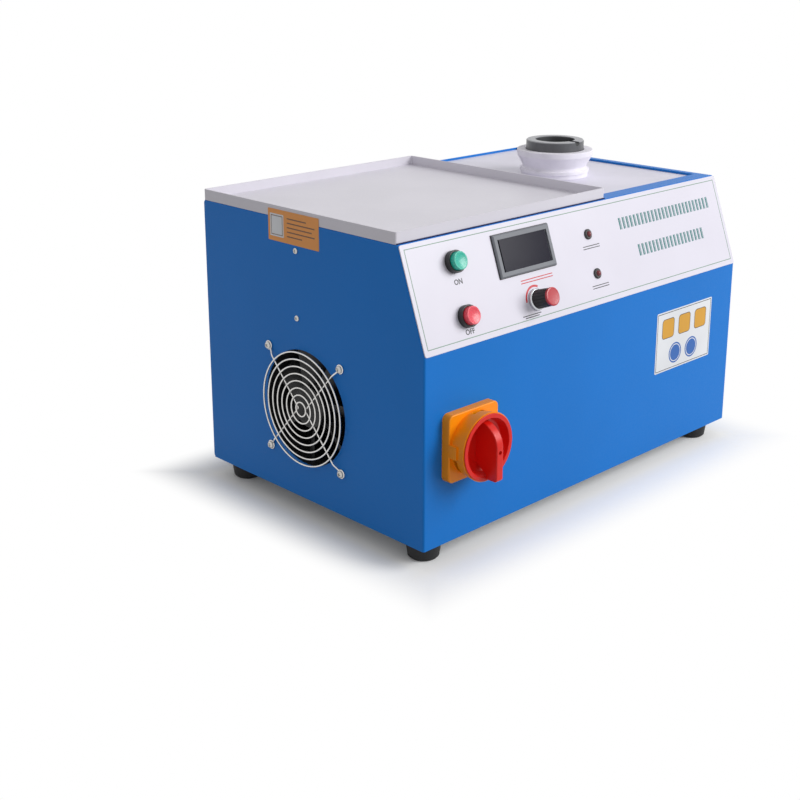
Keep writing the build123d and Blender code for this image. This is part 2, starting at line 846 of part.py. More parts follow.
# Square plate with a round collar; three slots in the collar take padlocks
with BuildPart() as isolator_plate:
    slab(
        isolator_plane,
        (isolator_plate_size, isolator_plate_size),
        0,
        isolator_plate_depth,
        corner=isolator_plate_corner,
    )
    plate_front = isolator_plate.faces().filter_by(Axis.Y).sort_by(Axis.Y)[0]
    fillet(plate_front.edges(), radius=isolator_plate_edge)
    turned(
        isolator_plane,
        [
            (0, isolator_plate_depth / 2),
            (isolator_collar_base_radius, isolator_plate_depth / 2),
            (isolator_collar_base_radius, isolator_plate_depth),
            (isolator_collar_rim_radius, isolator_collar_depth),
            (isolator_collar_rim_radius - isolator_collar_wall, isolator_collar_depth),
            (isolator_collar_base_radius - isolator_collar_wall, isolator_plate_depth),
            (0, isolator_plate_depth),
        ],
    )
    slot_height = isolator_plate_depth + isolator_slot_height
    for angle in isolator_slot_angles:
        slot_origin = isolator_plane.offset(slot_height).origin
        slot_dir = isolator_plane.x_dir.rotate(
            Axis(isolator_plane.origin, isolator_plane.z_dir), angle
        )
        slot_plane = Plane(origin=slot_origin, x_dir=isolator_plane.z_dir, z_dir=slot_dir)
        slab(
            slot_plane,
            (isolator_slot_height, isolator_slot_width),
            isolator_collar_base_radius - 2 * isolator_collar_wall,
            isolator_collar_rim_radius + overcut,
            corner=isolator_slot_corner,
            mode=Mode.SUBTRACT,
        )
    latch_plane = Plane(
        origin=isolator_plane.offset(isolator_plate_depth + isolator_latch_length / 2).origin,
        x_dir=isolator_plane.z_dir,
        z_dir=-isolator_plane.x_dir,
    )
    slab(
        latch_plane,
        (isolator_latch_length, isolator_latch_width),
        isolator_collar_base_radius - isolator_collar_wall / 2,
        isolator_collar_base_radius + isolator_latch_rise,
    )
    discs(
        isolator_plane,
        isolator_shaft_radius + slide_gap,
        0,
        isolator_plate_depth,
        mode=Mode.SUBTRACT,
    )

# Dished handle with an upright grip that a padlock's shackle can go through
handle_rim_radius = isolator_collar_rim_radius - isolator_collar_wall - handle_gap
handle_floor_radius = isolator_collar_base_radius - isolator_collar_wall - 2 * handle_gap
handle_rim_depth = isolator_collar_depth - handle_rim_drop
with BuildPart() as isolator_handle:
    turned(
        isolator_plane,
        [
            (0, handle_floor - handle_wall),
            (handle_flat_radius, handle_floor - handle_wall),
            (handle_floor_radius, handle_floor + handle_wall),
            (handle_rim_radius, handle_rim_depth),
            (handle_rim_radius - handle_wall, handle_rim_depth),
            (handle_floor_radius - handle_wall, handle_floor + 2 * handle_wall),
            (handle_flat_radius, handle_floor),
            (0, handle_floor),
        ],
    )
    grip_plane = Plane(
        origin=isolator_plane.origin, x_dir=isolator_plane.y_dir, z_dir=isolator_plane.x_dir
    )
    # seen from the side: its lower end stands in front of the collar's rim
    grip_end = isolator_collar_rim_radius
    grip_foot = isolator_collar_depth + handle_rim_drop
    grip_seat = handle_floor - handle_wall / 2
    with BuildSketch(grip_plane):
        with BuildLine():
            Polyline(
                (-grip_end, grip_foot),
                (-grip_end, grip_depth - grip_corner),
                (-grip_end + grip_corner, grip_depth),
                (-grip_crown_y, grip_depth),
                (grip_crown_y, grip_depth + grip_crown_rise),
                (grip_shoulder_y, grip_depth - grip_shoulder_drop),
                (handle_floor_radius - grip_top_inset, isolator_collar_depth - grip_top_drop),
                (handle_flat_radius, grip_seat),
                (-handle_flat_radius, grip_seat),
                (-handle_floor_radius + handle_wall, grip_foot),
                close=True,
            )
        make_face()
        with Locations((0, grip_depth - handle_eye_inset)):
            Circle(handle_eye_radius, mode=Mode.SUBTRACT)
    extrude(amount=grip_thickness / 2, both=True)
    # round the edges of the grip in front of the dish
    grip_rims = isolator_handle.edges().filter_by(
        lambda edge: edge.geom_type == GeomType.LINE
        and isolator_plane.to_local_coords(edge.center()).Z > grip_foot
        and abs(edge.tangent_at(0).X) < 0.5
    )
    fillet(grip_rims, radius=small_edge)

with BuildPart() as isolator_shaft:
    shaft_end = handle_floor - handle_wall
    discs(isolator_plane, isolator_shaft_radius, -isolator_shaft_depth, shaft_end)

with BuildPart() as isolator_switch_body:
    body_face = -wall
    body_size = (isolator_body_size, isolator_body_size)
    body_end = body_face - isolator_body_depth
    slab(isolator_plane, body_size, body_end, body_face, corner=isolator_body_corner)
    # waists between the stacked contact wafers
    waist_size = isolator_body_size - 2 * isolator_waist
    for wafer in range(1, isolator_wafer_count):
        waist = body_face - wafer * isolator_body_depth / isolator_wafer_count
        with BuildSketch(isolator_plane.offset(waist)):
            Rectangle(2 * isolator_body_size, 2 * isolator_body_size)
            Rectangle(waist_size, waist_size, mode=Mode.SUBTRACT)
        extrude(amount=isolator_waist, mode=Mode.SUBTRACT)
    discs(
        isolator_plane,
        isolator_shaft_radius + shaft_gap,
        -isolator_shaft_depth - shaft_end_gap,
        body_face,
        mode=Mode.SUBTRACT,
    )

# ------------------------------------------------------------------ controls on the slope

button_parts = {}
for name, place in button_places.items():
    button_plane = plane_at(slope_plane, place)
    seat = panel_thickness
    with BuildPart() as bezel:
        bore = button_cap_radius + slide_gap
        turned(
            button_plane,
            [
                (bore, -button_barrel_depth),
                (button_barrel_radius, -button_barrel_depth),
                (button_barrel_radius, seat),
                (button_bezel_radius, seat),
                (button_bezel_radius, seat + button_bezel_height - small_edge),
                (button_bezel_radius - small_edge, seat + button_bezel_height),
                (bore, seat + button_bezel_height),
            ],
        )
    with BuildPart() as cap:
        shoulder = seat - button_cap_skirt
        top = seat + button_cap_height
        turned(
            button_plane,
            [
                (0, -button_stem_depth),
                (button_stem_radius, -button_stem_depth),
                (button_stem_radius, shoulder),
                (button_cap_radius, shoulder),
                (button_cap_radius, top - button_cap_edge),
                (button_cap_radius - button_cap_edge / 3, top - button_cap_edge / 3),
                (button_cap_radius - button_cap_edge, top),
                (0, top),
            ],
        )
    with BuildPart() as block:
        block_top = -button_barrel_depth
        block_size = (contact_block_size, contact_block_size)
        block_end = block_top - contact_block_depth
        slab(button_plane, block_size, block_end, block_top, corner=contact_block_corner)
        discs(
            button_plane,
            button_stem_radius + slide_gap,
            -button_stem_depth - button_travel - shaft_end_gap,
            block_top,
            mode=Mode.SUBTRACT,
        )
    button_parts[name] = {"bezel": bezel.part, "cap": cap.part, "contact_block": block.part}

# The nuts of the two buttons and of the potentiometer
with BuildPart() as control_nuts:
    hexagon(slope_plane, button_nut_width, -wall - button_nut_height, -wall, button_holes)
    discs(
        slope_plane,
        button_barrel_radius + panel_gap,
        -wall - button_nut_height,
        -wall,
        button_holes,
        mode=Mode.SUBTRACT,
    )
    nut_top = panel_thickness + pot_nut_height
    hexagon(knob_plane, pot_nut_width, panel_thickness, nut_top)
    nut_bore = pot_bushing_radius + shaft_gap
    discs(knob_plane, nut_bore, panel_thickness, nut_top, mode=Mode.SUBTRACT)

display_plane = plane_at(slope_plane, display_place)
with BuildPart() as display_bezel:
    bezel_top = panel_thickness + display_bezel_height
    slab(display_plane, (display_width, display_height), panel_thickness, bezel_top)
    bezel_rim = display_bezel.edges().group_by(
        lambda edge: round(display_plane.to_local_coords(edge.center()).Z, 3)
    )[-1]
    chamfer(bezel_rim, length=display_bezel_edge)
    slab(
        display_plane,
        (display_body_width, display_body_height),
        -display_body_depth,
        panel_thickness,
    )
    slab(
        display_plane,
        (display_window_width, display_window_height),
        bezel_top - display_window_depth,
        bezel_top,
        mode=Mode.SUBTRACT,
    )

with BuildPart() as display_screen:
    screen_size = (
        display_window_width - 2 * panel_gap,
        display_window_height - 2 * panel_gap,
    )
    screen_foot = panel_thickness + display_bezel_height - display_window_depth
    slab(display_plane, screen_size, screen_foot, screen_foot + display_screen_thickness)

# Potentiometer, its nut and the knob on its shaft
with BuildPart() as pot_body:
    turned(
        knob_plane,
        [
            (pot_shaft_radius + shaft_gap, -wall - pot_body_depth + pot_shell),
            (pot_shaft_radius + shaft_gap, panel_thickness + pot_bushing_height),
            (pot_bushing_radius, panel_thickness + pot_bushing_height),
            (pot_bushing_radius, -wall),
            (pot_body_radius, -wall),
            (pot_body_radius, -wall - pot_body_depth),
            (0, -wall - pot_body_depth),
            (0, -wall - pot_body_depth + pot_shell),
        ],
    )

knob_foot = panel_thickness + slide_gap
knob_top = panel_thickness + knob_height
with BuildPart() as pot_shaft:
    shaft_top = knob_top - knob_cap_height - pot_shaft_inset
    shaft_foot = -wall - pot_body_depth + 2 * pot_shell
    discs(knob_plane, pot_shaft_radius, shaft_foot, shaft_top)

with BuildPart() as power_knob:
    knob_rim = knob_top - knob_cap_height / 4
    knob_well_radius = pot_nut_width / 2 / cos(pi / 6) + slide_gap
    knob_well_top = panel_thickness + pot_bushing_height + 2 * slide_gap
    turned(
        knob_plane,
        [
            (knob_well_radius, knob_foot),
            (knob_skirt_radius, knob_foot),
            (knob_skirt_radius, knob_foot + knob_skirt_height - small_edge),
            (knob_base_radius, knob_foot + knob_skirt_height),
            (knob_top_radius, knob_top - knob_cap_height),
            (knob_top_radius - small_edge, knob_rim),
            (knob_cap_radius, knob_rim),
            (knob_cap_radius, knob_top - knob_cap_height),
            (0, knob_top - knob_cap_height),
            (0, shaft_top),
            (pot_shaft_radius, shaft_top),
            (pot_shaft_radius, knob_well_top),
            (knob_well_radius, knob_well_top),
        ],
    )
    flute_low = knob_foot + knob_skirt_height + small_edge
    with BuildSketch(knob_plane.offset(flute_low)):
        with PolarLocations(knob_base_radius, knob_flute_count):
            Circle(knob_flute_radius)
    extrude(amount=knob_top - flute_low, mode=Mode.SUBTRACT)

with BuildPart() as power_knob_cap:
    discs(knob_plane, knob_cap_radius, knob_top - knob_cap_height, knob_top)

# Two signal lamps: black holders through the slope, and a lens in each
with BuildPart() as lamp_holders:
    for place in lamp_places:
        turned(
            plane_at(slope_plane, place),
            [
                (lamp_lens_radius, panel_thickness),
                (lamp_lens_radius, panel_thickness + lamp_holder_height),
                (lamp_holder_radius - small_edge, panel_thickness + lamp_holder_height),
                (lamp_holder_radius, panel_thickness + lamp_holder_height / 2),
                (lamp_holder_radius, panel_thickness),
                (lamp_body_radius, panel_thickness),
                (lamp_body_radius, -lamp_body_depth),
                (0, -lamp_body_depth),
                (0, panel_thickness),
            ],
        )

with BuildPart() as lamp_lenses:
    lens_top = panel_thickness + lamp_lens_height
    discs(slope_plane, lamp_lens_radius, panel_thickness, lens_top, lamp_places)
    lens_rims = lamp_lenses.edges().group_by(
        lambda edge: round(slope_plane.to_local_coords(edge.center()).Z, 3)
    )[-1]
    fillet(lens_rims, radius=lamp_lens_round)

# Circuit board on four posts behind the right half of the slope
with BuildPart() as control_board:
    board_place = (control_board_left, slope_length / 2)
    board_top = -wall - control_board_drop
    board_size = (control_board_width, control_board_height)
    board_plane = plane_at(slope_plane, board_place)
    board_back = board_top - board_thickness
    slab(board_plane, board_size, board_back, board_top, corner=board_corner)
    post_spacing = [length - 2 * board_post_inset for length in board_size]
    with BuildSketch(board_plane.offset(board_top)):
        with GridLocations(*post_spacing, 2, 2):
            Circle(board_post_radius)
    extrude(amount=control_board_drop)
    # relays and a processor on the side that faces into the case
    for x, width in board_blocks:
        slab(
            board_plane,
            (width, board_block_height),
            board_back - board_block_depth,
            board_back,
            (x, board_block_rise),
        )

# ------------------------------------------------------------------ melting well

crucible_top = case_top + crucible_rise
crucible_bottom = crucible_top - crucible_height

with BuildPart() as graphite_crucible:
    turned(
        well_plane,
        [
            (0, crucible_bottom),
            (crucible_radius - crucible_edge, crucible_bottom),
            (crucible_radius, crucible_bottom + crucible_edge),
            (crucible_radius, crucible_top - crucible_edge),
            (crucible_radius - crucible_edge, crucible_top),
            (crucible_bore_radius, crucible_top),
            (crucible_bore_radius, crucible_bottom + crucible_floor),
            (0, crucible_bottom + crucible_floor),
        ],
    )
    # pouring notch in the rim, towards the front
    notch_plane = Plane(
        origin=(well_x, well_y, crucible_top - crucible_notch_drop), x_dir=(1, 0, 0), z_dir=(0, -1, 0)
    )
    discs(
        notch_plane,
        crucible_notch_radius,
        crucible_bore_radius - crucible_notch_radius,
        crucible_radius + overcut,
        mode=Mode.SUBTRACT,
    )

with BuildPart() as furnace_collar:
    collar_bore = crucible_radius + collar_gap
    turned(
        well_plane,
        [
            (collar_bore, deck_top),
            (collar_ring_radius, deck_top),
            (collar_ring_radius, case_top + collar_ring_rise - collar_edge),
            (collar_ring_radius - collar_edge, case_top + collar_ring_rise),
            (collar_neck_radius, case_top + collar_ring_rise),
            (collar_neck_radius, case_top + collar_neck_rise),
            (collar_flange_radius, case_top + collar_flange_foot),
            (collar_flange_radius, case_top + collar_flange_rise - collar_edge),
            (collar_flange_radius - collar_edge, case_top + collar_flange_rise),
            (collar_bore, case_top + collar_flange_rise),
        ],
    )

with BuildPart() as crucible_liner:
    discs(well_plane, liner_inner_radius + liner_wall, crucible_bottom, deck_bottom)
    discs(
        well_plane,
        liner_inner_radius,
        crucible_bottom,
        deck_bottom,
        mode=Mode.SUBTRACT,
    )

with BuildPart() as well_base:
    well_base_bottom = crucible_bottom - well_base_thickness
    turned(
        well_plane,
        [
            (0, well_base_bottom),
            (well_base_radius, well_base_bottom),
            (well_base_radius, crucible_bottom - well_base_edge),
            (well_base_radius - well_base_edge, crucible_bottom),
            (0, crucible_bottom),
        ],
    )

# Bent sheet table that carries the melting well over the transformer
with BuildPart() as well_bracket:
    table_half = well_bracket_width / 2
    leg_reach = table_half + well_bracket_foot
    with BuildSketch(Plane.XZ.offset(well_bracket_front - well_y)):
        with BuildLine():
            Polyline(
                (well_x - leg_reach, base_top),
                (well_x - leg_reach, base_top + well_bracket_sheet),
                (well_x - table_half, base_top + well_bracket_sheet),
                (well_x - table_half, well_base_bottom),
                (well_x + table_half, well_base_bottom),
                (well_x + table_half, base_top + well_bracket_sheet),
                (well_x + leg_reach, base_top + well_bracket_sheet),
                (well_x + leg_reach, base_top),
                (well_x + table_half - well_bracket_sheet, base_top),
                (well_x + table_half - well_bracket_sheet, well_base_bottom - well_bracket_sheet),
                (well_x - table_half + well_bracket_sheet, well_base_bottom - well_bracket_sheet),
                (well_x - table_half + well_bracket_sheet, base_top),
                close=True,
            )
        make_face()
    extrude(amount=-(well_bracket_front + well_bracket_back))

# Water-cooled copper tube: a helix built from quarter turns, each one a pair of arcs
coil_start_z = crucible_bottom + coil_clearance + coil_tube_radius
coil_quarters = 4 * coil_turns + 2
coil_rise = coil_pitch / 4  # per quarter turn
coil_end_z = coil_start_z + coil_quarters * coil_rise
coil_back_y = well_y + coil_lead


def helix_point(quarter):
    """Point on the coil's centre line after a number of quarter turns, from the left."""
    angle = pi + quarter * pi / 2
    return Vector(
        well_x + coil_radius * cos(angle),
        well_y + coil_radius * sin(angle),
        coil_start_z + quarter * coil_rise,
    )


def helix_direction(quarter):
    """Direction of the coil's centre line after a number of quarter turns."""
    angle = pi + quarter * pi / 2
    level_ends = (0, coil_quarters)
    climb = 0 if quarter in level_ends else coil_rise / (pi / 2)
    return Vector(-coil_radius * sin(angle), coil_radius * cos(angle), climb).normalized()


def biarc_joint(start, start_dir, end, end_dir):
    """Point where two arcs of equal tangent length meet between two ends."""
    chord = end - start
    both = start_dir + end_dir
    across = 2 * (1 - start_dir.dot(end_dir))
    reach = chord.dot(both)
    length = (-reach + (reach**2 + across * chord.dot(chord)) ** 0.5) / across
    return (start + end + (start_dir - end_dir) * length) / 2


with BuildPart() as induction_coil:
    first_dir = helix_direction(0)
    last_dir = helix_direction(coil_quarters)
    with BuildLine() as coil_path:
        Line(helix_point(0) - first_dir * coil_lead, helix_point(0))
        for quarter in range(coil_quarters):
            arc_start = helix_point(quarter)
            arc_end = helix_point(quarter + 1)
            start_dir = helix_direction(quarter)
            joint = biarc_joint(arc_start, start_dir, arc_end, helix_direction(quarter + 1))
            first_arc = TangentArc(arc_start, joint, tangent=start_dir)
            TangentArc(joint, arc_end, tangent=first_arc % 1)
        Line(helix_point(coil_quarters), helix_point(coil_quarters) + last_dir * coil_lead)
    coil_wire = coil_path.wire()
    with BuildSketch(Plane(origin=coil_wire @ 0, z_dir=coil_wire % 0)):
        Circle(coil_tube_radius)
    sweep(path=coil_wire)

samples = 40 * coil_quarters
coil_gap = min(
    (helix_point(quarter + 4) - helix_point(quarter)).length - 2 * coil_tube_radius
    for quarter in [coil_quarters * step / samples for step in range(samples)]
    if quarter + 4 <= coil_quarters
)
print("coil: least gap between turns", round(coil_gap, 2))
print("coil: volume", round(induction_coil.part.volume), end=" ")
print("section times length", round(coil_wire.length * pi * coil_tube_radius**2))

with BuildPart() as coil_sleeve:
    sleeve_top = deck_bottom - sleeve_gap
    discs(
        well_plane,
        liner_inner_radius + liner_wall + sleeve_wall,
        crucible_bottom,
        sleeve_top,
    )
    discs(
        well_plane,
        liner_inner_radius + liner_wall,
        crucible_bottom,
        sleeve_top,
        mode=Mode.SUBTRACT,
    )

# Brass blocks on the ends of the coil, each with a barb for its water hose and a bar
# down to the transformer
terminal_back_y = coil_back_y + terminal_depth
transformer_top = base_top + transformer_height
coil_ends = ((coil_lead_x[0], coil_start_z), (coil_lead_x[1], coil_end_z))
with BuildPart() as coil_terminals:
    for x, z in coil_ends:
        block_plane = Plane(origin=(x, coil_back_y, z), x_dir=(-1, 0, 0), z_dir=(0, 1, 0))
        slab(block_plane, (terminal_width, terminal_height), 0, terminal_depth)
        barb_end = terminal_depth + fitting_inner_barb
        discs(block_plane, fitting_barb_radius, terminal_depth, barb_end)
        with BuildSketch(Plane.XY.offset(transformer_top)):
            with Locations((x, coil_back_y + terminal_depth / 2)):
                Rectangle(busbar_thickness, busbar_width)
        extrude(amount=z - terminal_height / 2 - transformer_top)

# Ferrite frame with two windings on its middle limb
with BuildPart() as output_transformer:
    core_plane = Plane(origin=(well_x, transformer_y, base_top))
    slab(core_plane, (transformer_width, transformer_depth), 0, transformer_height)
    window_width = (transformer_width - 3 * transformer_limb) / 2
    window_height = transformer_height - 2 * transformer_limb
    window_x = transformer_width / 2 - transformer_limb - window_width / 2
    with BuildSketch(Plane.XZ.offset(-transformer_y)):
        with Locations(
            (well_x - window_x, base_top + transformer_height / 2),
            (well_x + window_x, base_top + transformer_height / 2),
        ):
            Rectangle(window_width, window_height)
    extrude(amount=transformer_depth, both=True, mode=Mode.SUBTRACT)
    winding_size = (
        2 * (window_x + window_width / 2 - transformer_winding_gap),
        transformer_depth + 4 * transformer_winding_gap,
    )
    winding_foot = transformer_limb + transformer_winding_gap
    winding_middle = transformer_height / 2
    winding_split = transformer_winding_gap / 2
    for low, high in (
        (winding_foot, winding_middle - winding_split),
        (winding_middle + winding_split, transformer_height - winding_foot),
    ):
        slab(core_plane, winding_size, low, high, corner=transformer_winding_corner)

# ------------------------------------------------------------------ power electronics

heatsink_x = left_x - fan_back + heatsink_gap + heatsink_length / 2
heatsink_plane = Plane(origin=(heatsink_x, fan_y, base_top))
heatsink_top = heatsink_fin_height + heatsink_base
with BuildPart() as heatsink:
    slab(heatsink_plane, (heatsink_length, heatsink_width), heatsink_fin_height, heatsink_top)
    fin_pitch = (heatsink_width - heatsink_fin_thickness) / (heatsink_fin_count - 1)
    with BuildSketch(heatsink_plane):
        with GridLocations(0, fin_pitch, 1, heatsink_fin_count):
            Rectangle(heatsink_length, heatsink_fin_thickness)
    extrude(amount=heatsink_fin_height)

module_places = [(-module_spacing / 2, 0), (module_spacing / 2, 0)]
module_top = heatsink_top + module_height
board_foot = module_top + power_board_rise
with BuildPart() as igbt_modules:
    for place in module_places:
        module_size = (module_length, module_width)
        slab(heatsink_plane, module_size, heatsink_top, module_top, place, module_corner)
        terminals = [(place[0], y) for y in (-module_width / 3, 0, module_width / 3)]
        discs(heatsink_plane, module_terminal_radius, module_top, board_foot, terminals)

with BuildPart() as power_board:
    board_size = (power_board_length, power_board_width)
    board_face = board_foot + board_thickness
    slab(heatsink_plane, board_size, board_foot, board_face, corner=board_corner)
    discs(
        heatsink_plane,
        power_board_capacitor_radius,
        board_face,
        board_face + power_board_capacitor_height,
        power_board_capacitors,
    )
    for size, height, place in power_board_blocks:
        slab(heatsink_plane, size, board_face, board_face + height, place)

# A row of film capacitors along the front, under one connecting bar
with BuildPart() as capacitor_bank:
    row_length = (capacitor_count - 1) * capacitor_spacing
    row_x = isolator_plane.origin.X + isolator_body_size / 2 + capacitor_left + capacitor_radius
    row_y = front_y + wall + capacitor_front + capacitor_radius
    bank_plane = Plane(origin=(row_x, row_y, base_top))
    bank_places = [(capacitor * capacitor_spacing, 0) for capacitor in range(capacitor_count)]
    discs(bank_plane, capacitor_radius, 0, capacitor_height, bank_places)
    bar_size = (row_length + capacitor_radius, capacitor_radius)
    bar_top = capacitor_height + capacitor_bar_thickness
    bar_middle = (row_length / 2, 0)
    slab(bank_plane, bar_size, capacitor_height, bar_top, bar_middle, capacitor_bar_corner)

supply_face = -wall - supply_bracket_sheet
supply_middle = (0, (supply_low - supply_screw_drop) / 2)
with BuildPart() as supply_bracket:
    bracket_height = -supply_screw_drop - supply_low + 2 * supply_bracket_margin
    bracket_size = (supply_bracket_width, bracket_height)
    slab(supply_plane, bracket_size, supply_face, -wall, supply_middle, supply_corner)
    discs(
        supply_plane,
        screw_hole_radius,
        supply_face,
        -wall,
        supply_places,
        mode=Mode.SUBTRACT,
    )

with BuildPart() as power_supply:
    supply_size = (supply_length, supply_height)
    supply_back = supply_face - supply_depth
    slab(supply_plane, supply_size, supply_back, supply_face, supply_middle, supply_corner)

with BuildPart() as supply_screws:
    supply_shank = wall + supply_bracket_sheet + nut_height + thread_end
    screws(supply_plane, supply_shank, supply_places)
    hexagon(supply_plane, 2 * nut_radius, supply_face - nut_height, supply_face, supply_places)

with BuildPart() as terminal_block:
    rail_x = left_x + terminal_block_left
    rail_y = wrap_back_y - wall - terminal_block_depth
    rail_plane = Plane(origin=(rail_x, rail_y, base_top))
    block_size = (terminal_block_length, terminal_block_depth)
    slab(rail_plane, block_size, 0, terminal_block_height)
    pole_pitch = terminal_block_length / terminal_block_poles
    with BuildSketch(rail_plane.offset(terminal_block_height)):
        with GridLocations(pole_pitch, terminal_block_rows, terminal_block_poles, 2):
            Circle(terminal_block_screw_radius)
    extrude(amount=-terminal_block_screw_depth, mode=Mode.SUBTRACT)

# ------------------------------------------------------------------ water and mains


def fitting(plane, inside, inner_barb):
    """Add a brass hose fitting that goes through the back panel, with its nut inside."""
    ridge = fitting_barb_radius + small_edge
    inner_end = -wall - inside
    outline = [(fitting_bore_radius, inner_end - inner_barb)]
    if inner_barb > 0:
        outline.append((fitting_barb_radius, inner_end - inner_barb))
        outline.append((fitting_barb_radius, inner_end))
    outline += [
        (fitting_thread_radius, inner_end),
        (fitting_thread_radius, fitting_hex_height),
        (fitting_barb_radius, fitting_hex_height),
    ]
    pitch = (fitting_barb_length - fitting_hex_height) / 4
    for step in range(1, 4):
        outline.append((ridge, fitting_hex_height + step * pitch))
        outline.append((fitting_barb_radius, fitting_hex_height + step * pitch + small_edge))
    outline.append((fitting_barb_radius, fitting_hex_height + fitting_barb_length))
    outline.append((fitting_bore_radius, fitting_hex_height + fitting_barb_length))
    hexagon(plane, fitting_hex, 0, fitting_hex_height)
    hexagon(plane, fitting_hex, -wall - fitting_hex_height / 2, -wall)
    reach = fitting_hex_height + wall + inside
    discs(plane, fitting_thread_radius, -reach, fitting_hex_height, mode=Mode.SUBTRACT)
    turned(plane, outline)


with BuildPart() as water_inlet:
    fitting(water_in_plane, fitting_inside_length, 0)

with BuildPart() as water_outlet:
    fitting(water_out_plane, fitting_inside_length, fitting_inner_barb)

with BuildPart() as flow_switch:
    switch_face = -wall - fitting_inside_length
    switch_end = switch_face - flow_switch_length
    switch_size = (flow_switch_size, flow_switch_size)
    slab(water_in_plane, switch_size, switch_end, switch_face, corner=flow_switch_corner)
    discs(water_in_plane, fitting_barb_radius, switch_end - fitting_inner_barb, switch_end)

hose_radius = fitting_barb_radius + hose_wall
hoses = {}
hose_ends = {
    "inlet_hose": (coil_ends[1], wrap_back_y - fitting_inside_length - flow_switch_length),
    "outlet_hose": (coil_ends[0], wrap_back_y - fitting_inside_length),
}
for name, ((x, z), end_y) in hose_ends.items():
    with BuildPart() as hose:
        turn_y = (terminal_back_y + end_y) / 2
        with BuildLine() as hose_path:
            FilletPolyline(
                (x, terminal_back_y, z),
                (x, turn_y, z),
                (x, turn_y, water_height),
                (x, end_y, water_height),
                radius=turn_y - terminal_back_y - hose_straight,
            )
        hose_wire = hose_path.wire()
        with BuildSketch(Plane(origin=hose_wire @ 0, z_dir=hose_wire % 0)):
            Circle(hose_radius)
            Circle(fitting_barb_radius + shaft_gap, mode=Mode.SUBTRACT)
        sweep(path=hose_wire)
    hoses[name] = hose.part

with BuildPart() as cable_gland:
    hexagon(gland_plane, gland_hex, 0, gland_hex_height)
    hexagon(gland_plane, gland_hex, -wall - gland_hex_height, -wall)
    dome_top = gland_hex_height + gland_dome_height
    turned(
        gland_plane,
        [
            (0, -wall - gland_inside_length),
            (gland_radius, -wall - gland_inside_length),
            (gland_radius, gland_hex_height + gland_dome_height / 2),
            (gland_bore_radius + gland_lip, dome_top),
            (0, dome_top),
        ],
    )
    discs(
        gland_plane,
        gland_bore_radius,
        -wall - gland_inside_length,
        dome_top,
        mode=Mode.SUBTRACT,
    )

with BuildPart() as earth_stud:
    stud_inside = earth_stud_length / 3
    discs(earth_plane, earth_stud_radius, -wall - stud_inside, earth_stud_length - stud_inside)
    hexagon(earth_plane, earth_nut_width, 0, nut_height)
    outer_nut = nut_height + earth_ring_space
    hexagon(earth_plane, earth_nut_width, outer_nut, outer_nut + nut_height)
    hexagon(earth_plane, earth_nut_width, -wall - nut_height, -wall)

# ------------------------------------------------------------------ export

pieces = {
    "body_wrap": body_wrap.part,
    "base_pan": base_pan.part,
    "back_panel": back_panel.part,
    "deck_plate": deck_plate.part,
    "work_tray": work_tray.part,
    "control_panel": control_panel.part,
    "foot_screws": foot_screws.part,
    "back_screws": back_screws.part,
    "fan_frame": fan_frame.part,
    "fan_impeller": fan_impeller.part,
    "fan_guard": fan_guard.part,
    "fan_screws": fan_screws.part,
    "isolator_plate": isolator_plate.part,
    "isolator_handle": isolator_handle.part,
    "isolator_shaft": isolator_shaft.part,
    "isolator_switch_body": isolator_switch_body.part,
    "control_nuts": control_nuts.part,
    "display_bezel": display_bezel.part,
    "display_screen": display_screen.part,
    "pot_body": pot_body.part,
    "pot_shaft": pot_shaft.part,
    "power_knob": power_knob.part,
    "power_knob_cap": power_knob_cap.part,
    "lamp_holders": lamp_holders.part,
    "lamp_lenses": lamp_lenses.part,
    "control_board": control_board.part,
    "graphite_crucible": graphite_crucible.part,
    "furnace_collar": furnace_collar.part,
    "crucible_liner": crucible_liner.part,
    "coil_sleeve": coil_sleeve.part,
    "well_base": well_base.part,
    "well_bracket": well_bracket.part,
    "induction_coil": induction_coil.part,
    "coil_terminals": coil_terminals.part,
    "output_transformer": output_transformer.part,
    "heatsink": heatsink.part,
    "igbt_modules": igbt_modules.part,
    "power_board": power_board.part,
    "capacitor_bank": capacitor_bank.part,
    "supply_bracket": supply_bracket.part,
    "power_supply": power_supply.part,
    "supply_screws": supply_screws.part,
    "terminal_block": terminal_block.part,
    "water_inlet": water_inlet.part,
    "water_outlet": water_outlet.part,
    "flow_switch": flow_switch.part,
    "inlet_hose": hoses["inlet_hose"],
    "outlet_hose": hoses["outlet_hose"],
    "cable_gland": cable_gland.part,
    "earth_stud": earth_stud.part,
}
for corner, part in feet.items():
    pieces[f"foot_{corner}"] = part
for button, parts in button_parts.items():
    for piece, part in parts.items():
        pieces[f"{button}_{piece}"] = part

for name, part in pieces.items():
    part.label = name
    export_step(part, f"parts/{name}.step")
print("pieces:", len(pieces))
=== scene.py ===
"""Looks of a tabletop induction furnace for melting gold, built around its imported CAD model."""

import json
import logging
from collections.abc import Iterable, Sequence
from dataclasses import dataclass, field
from enum import Enum
from math import cos, pi, radians, sin

import bmesh
import bpy
from mathutils import Matrix, Vector


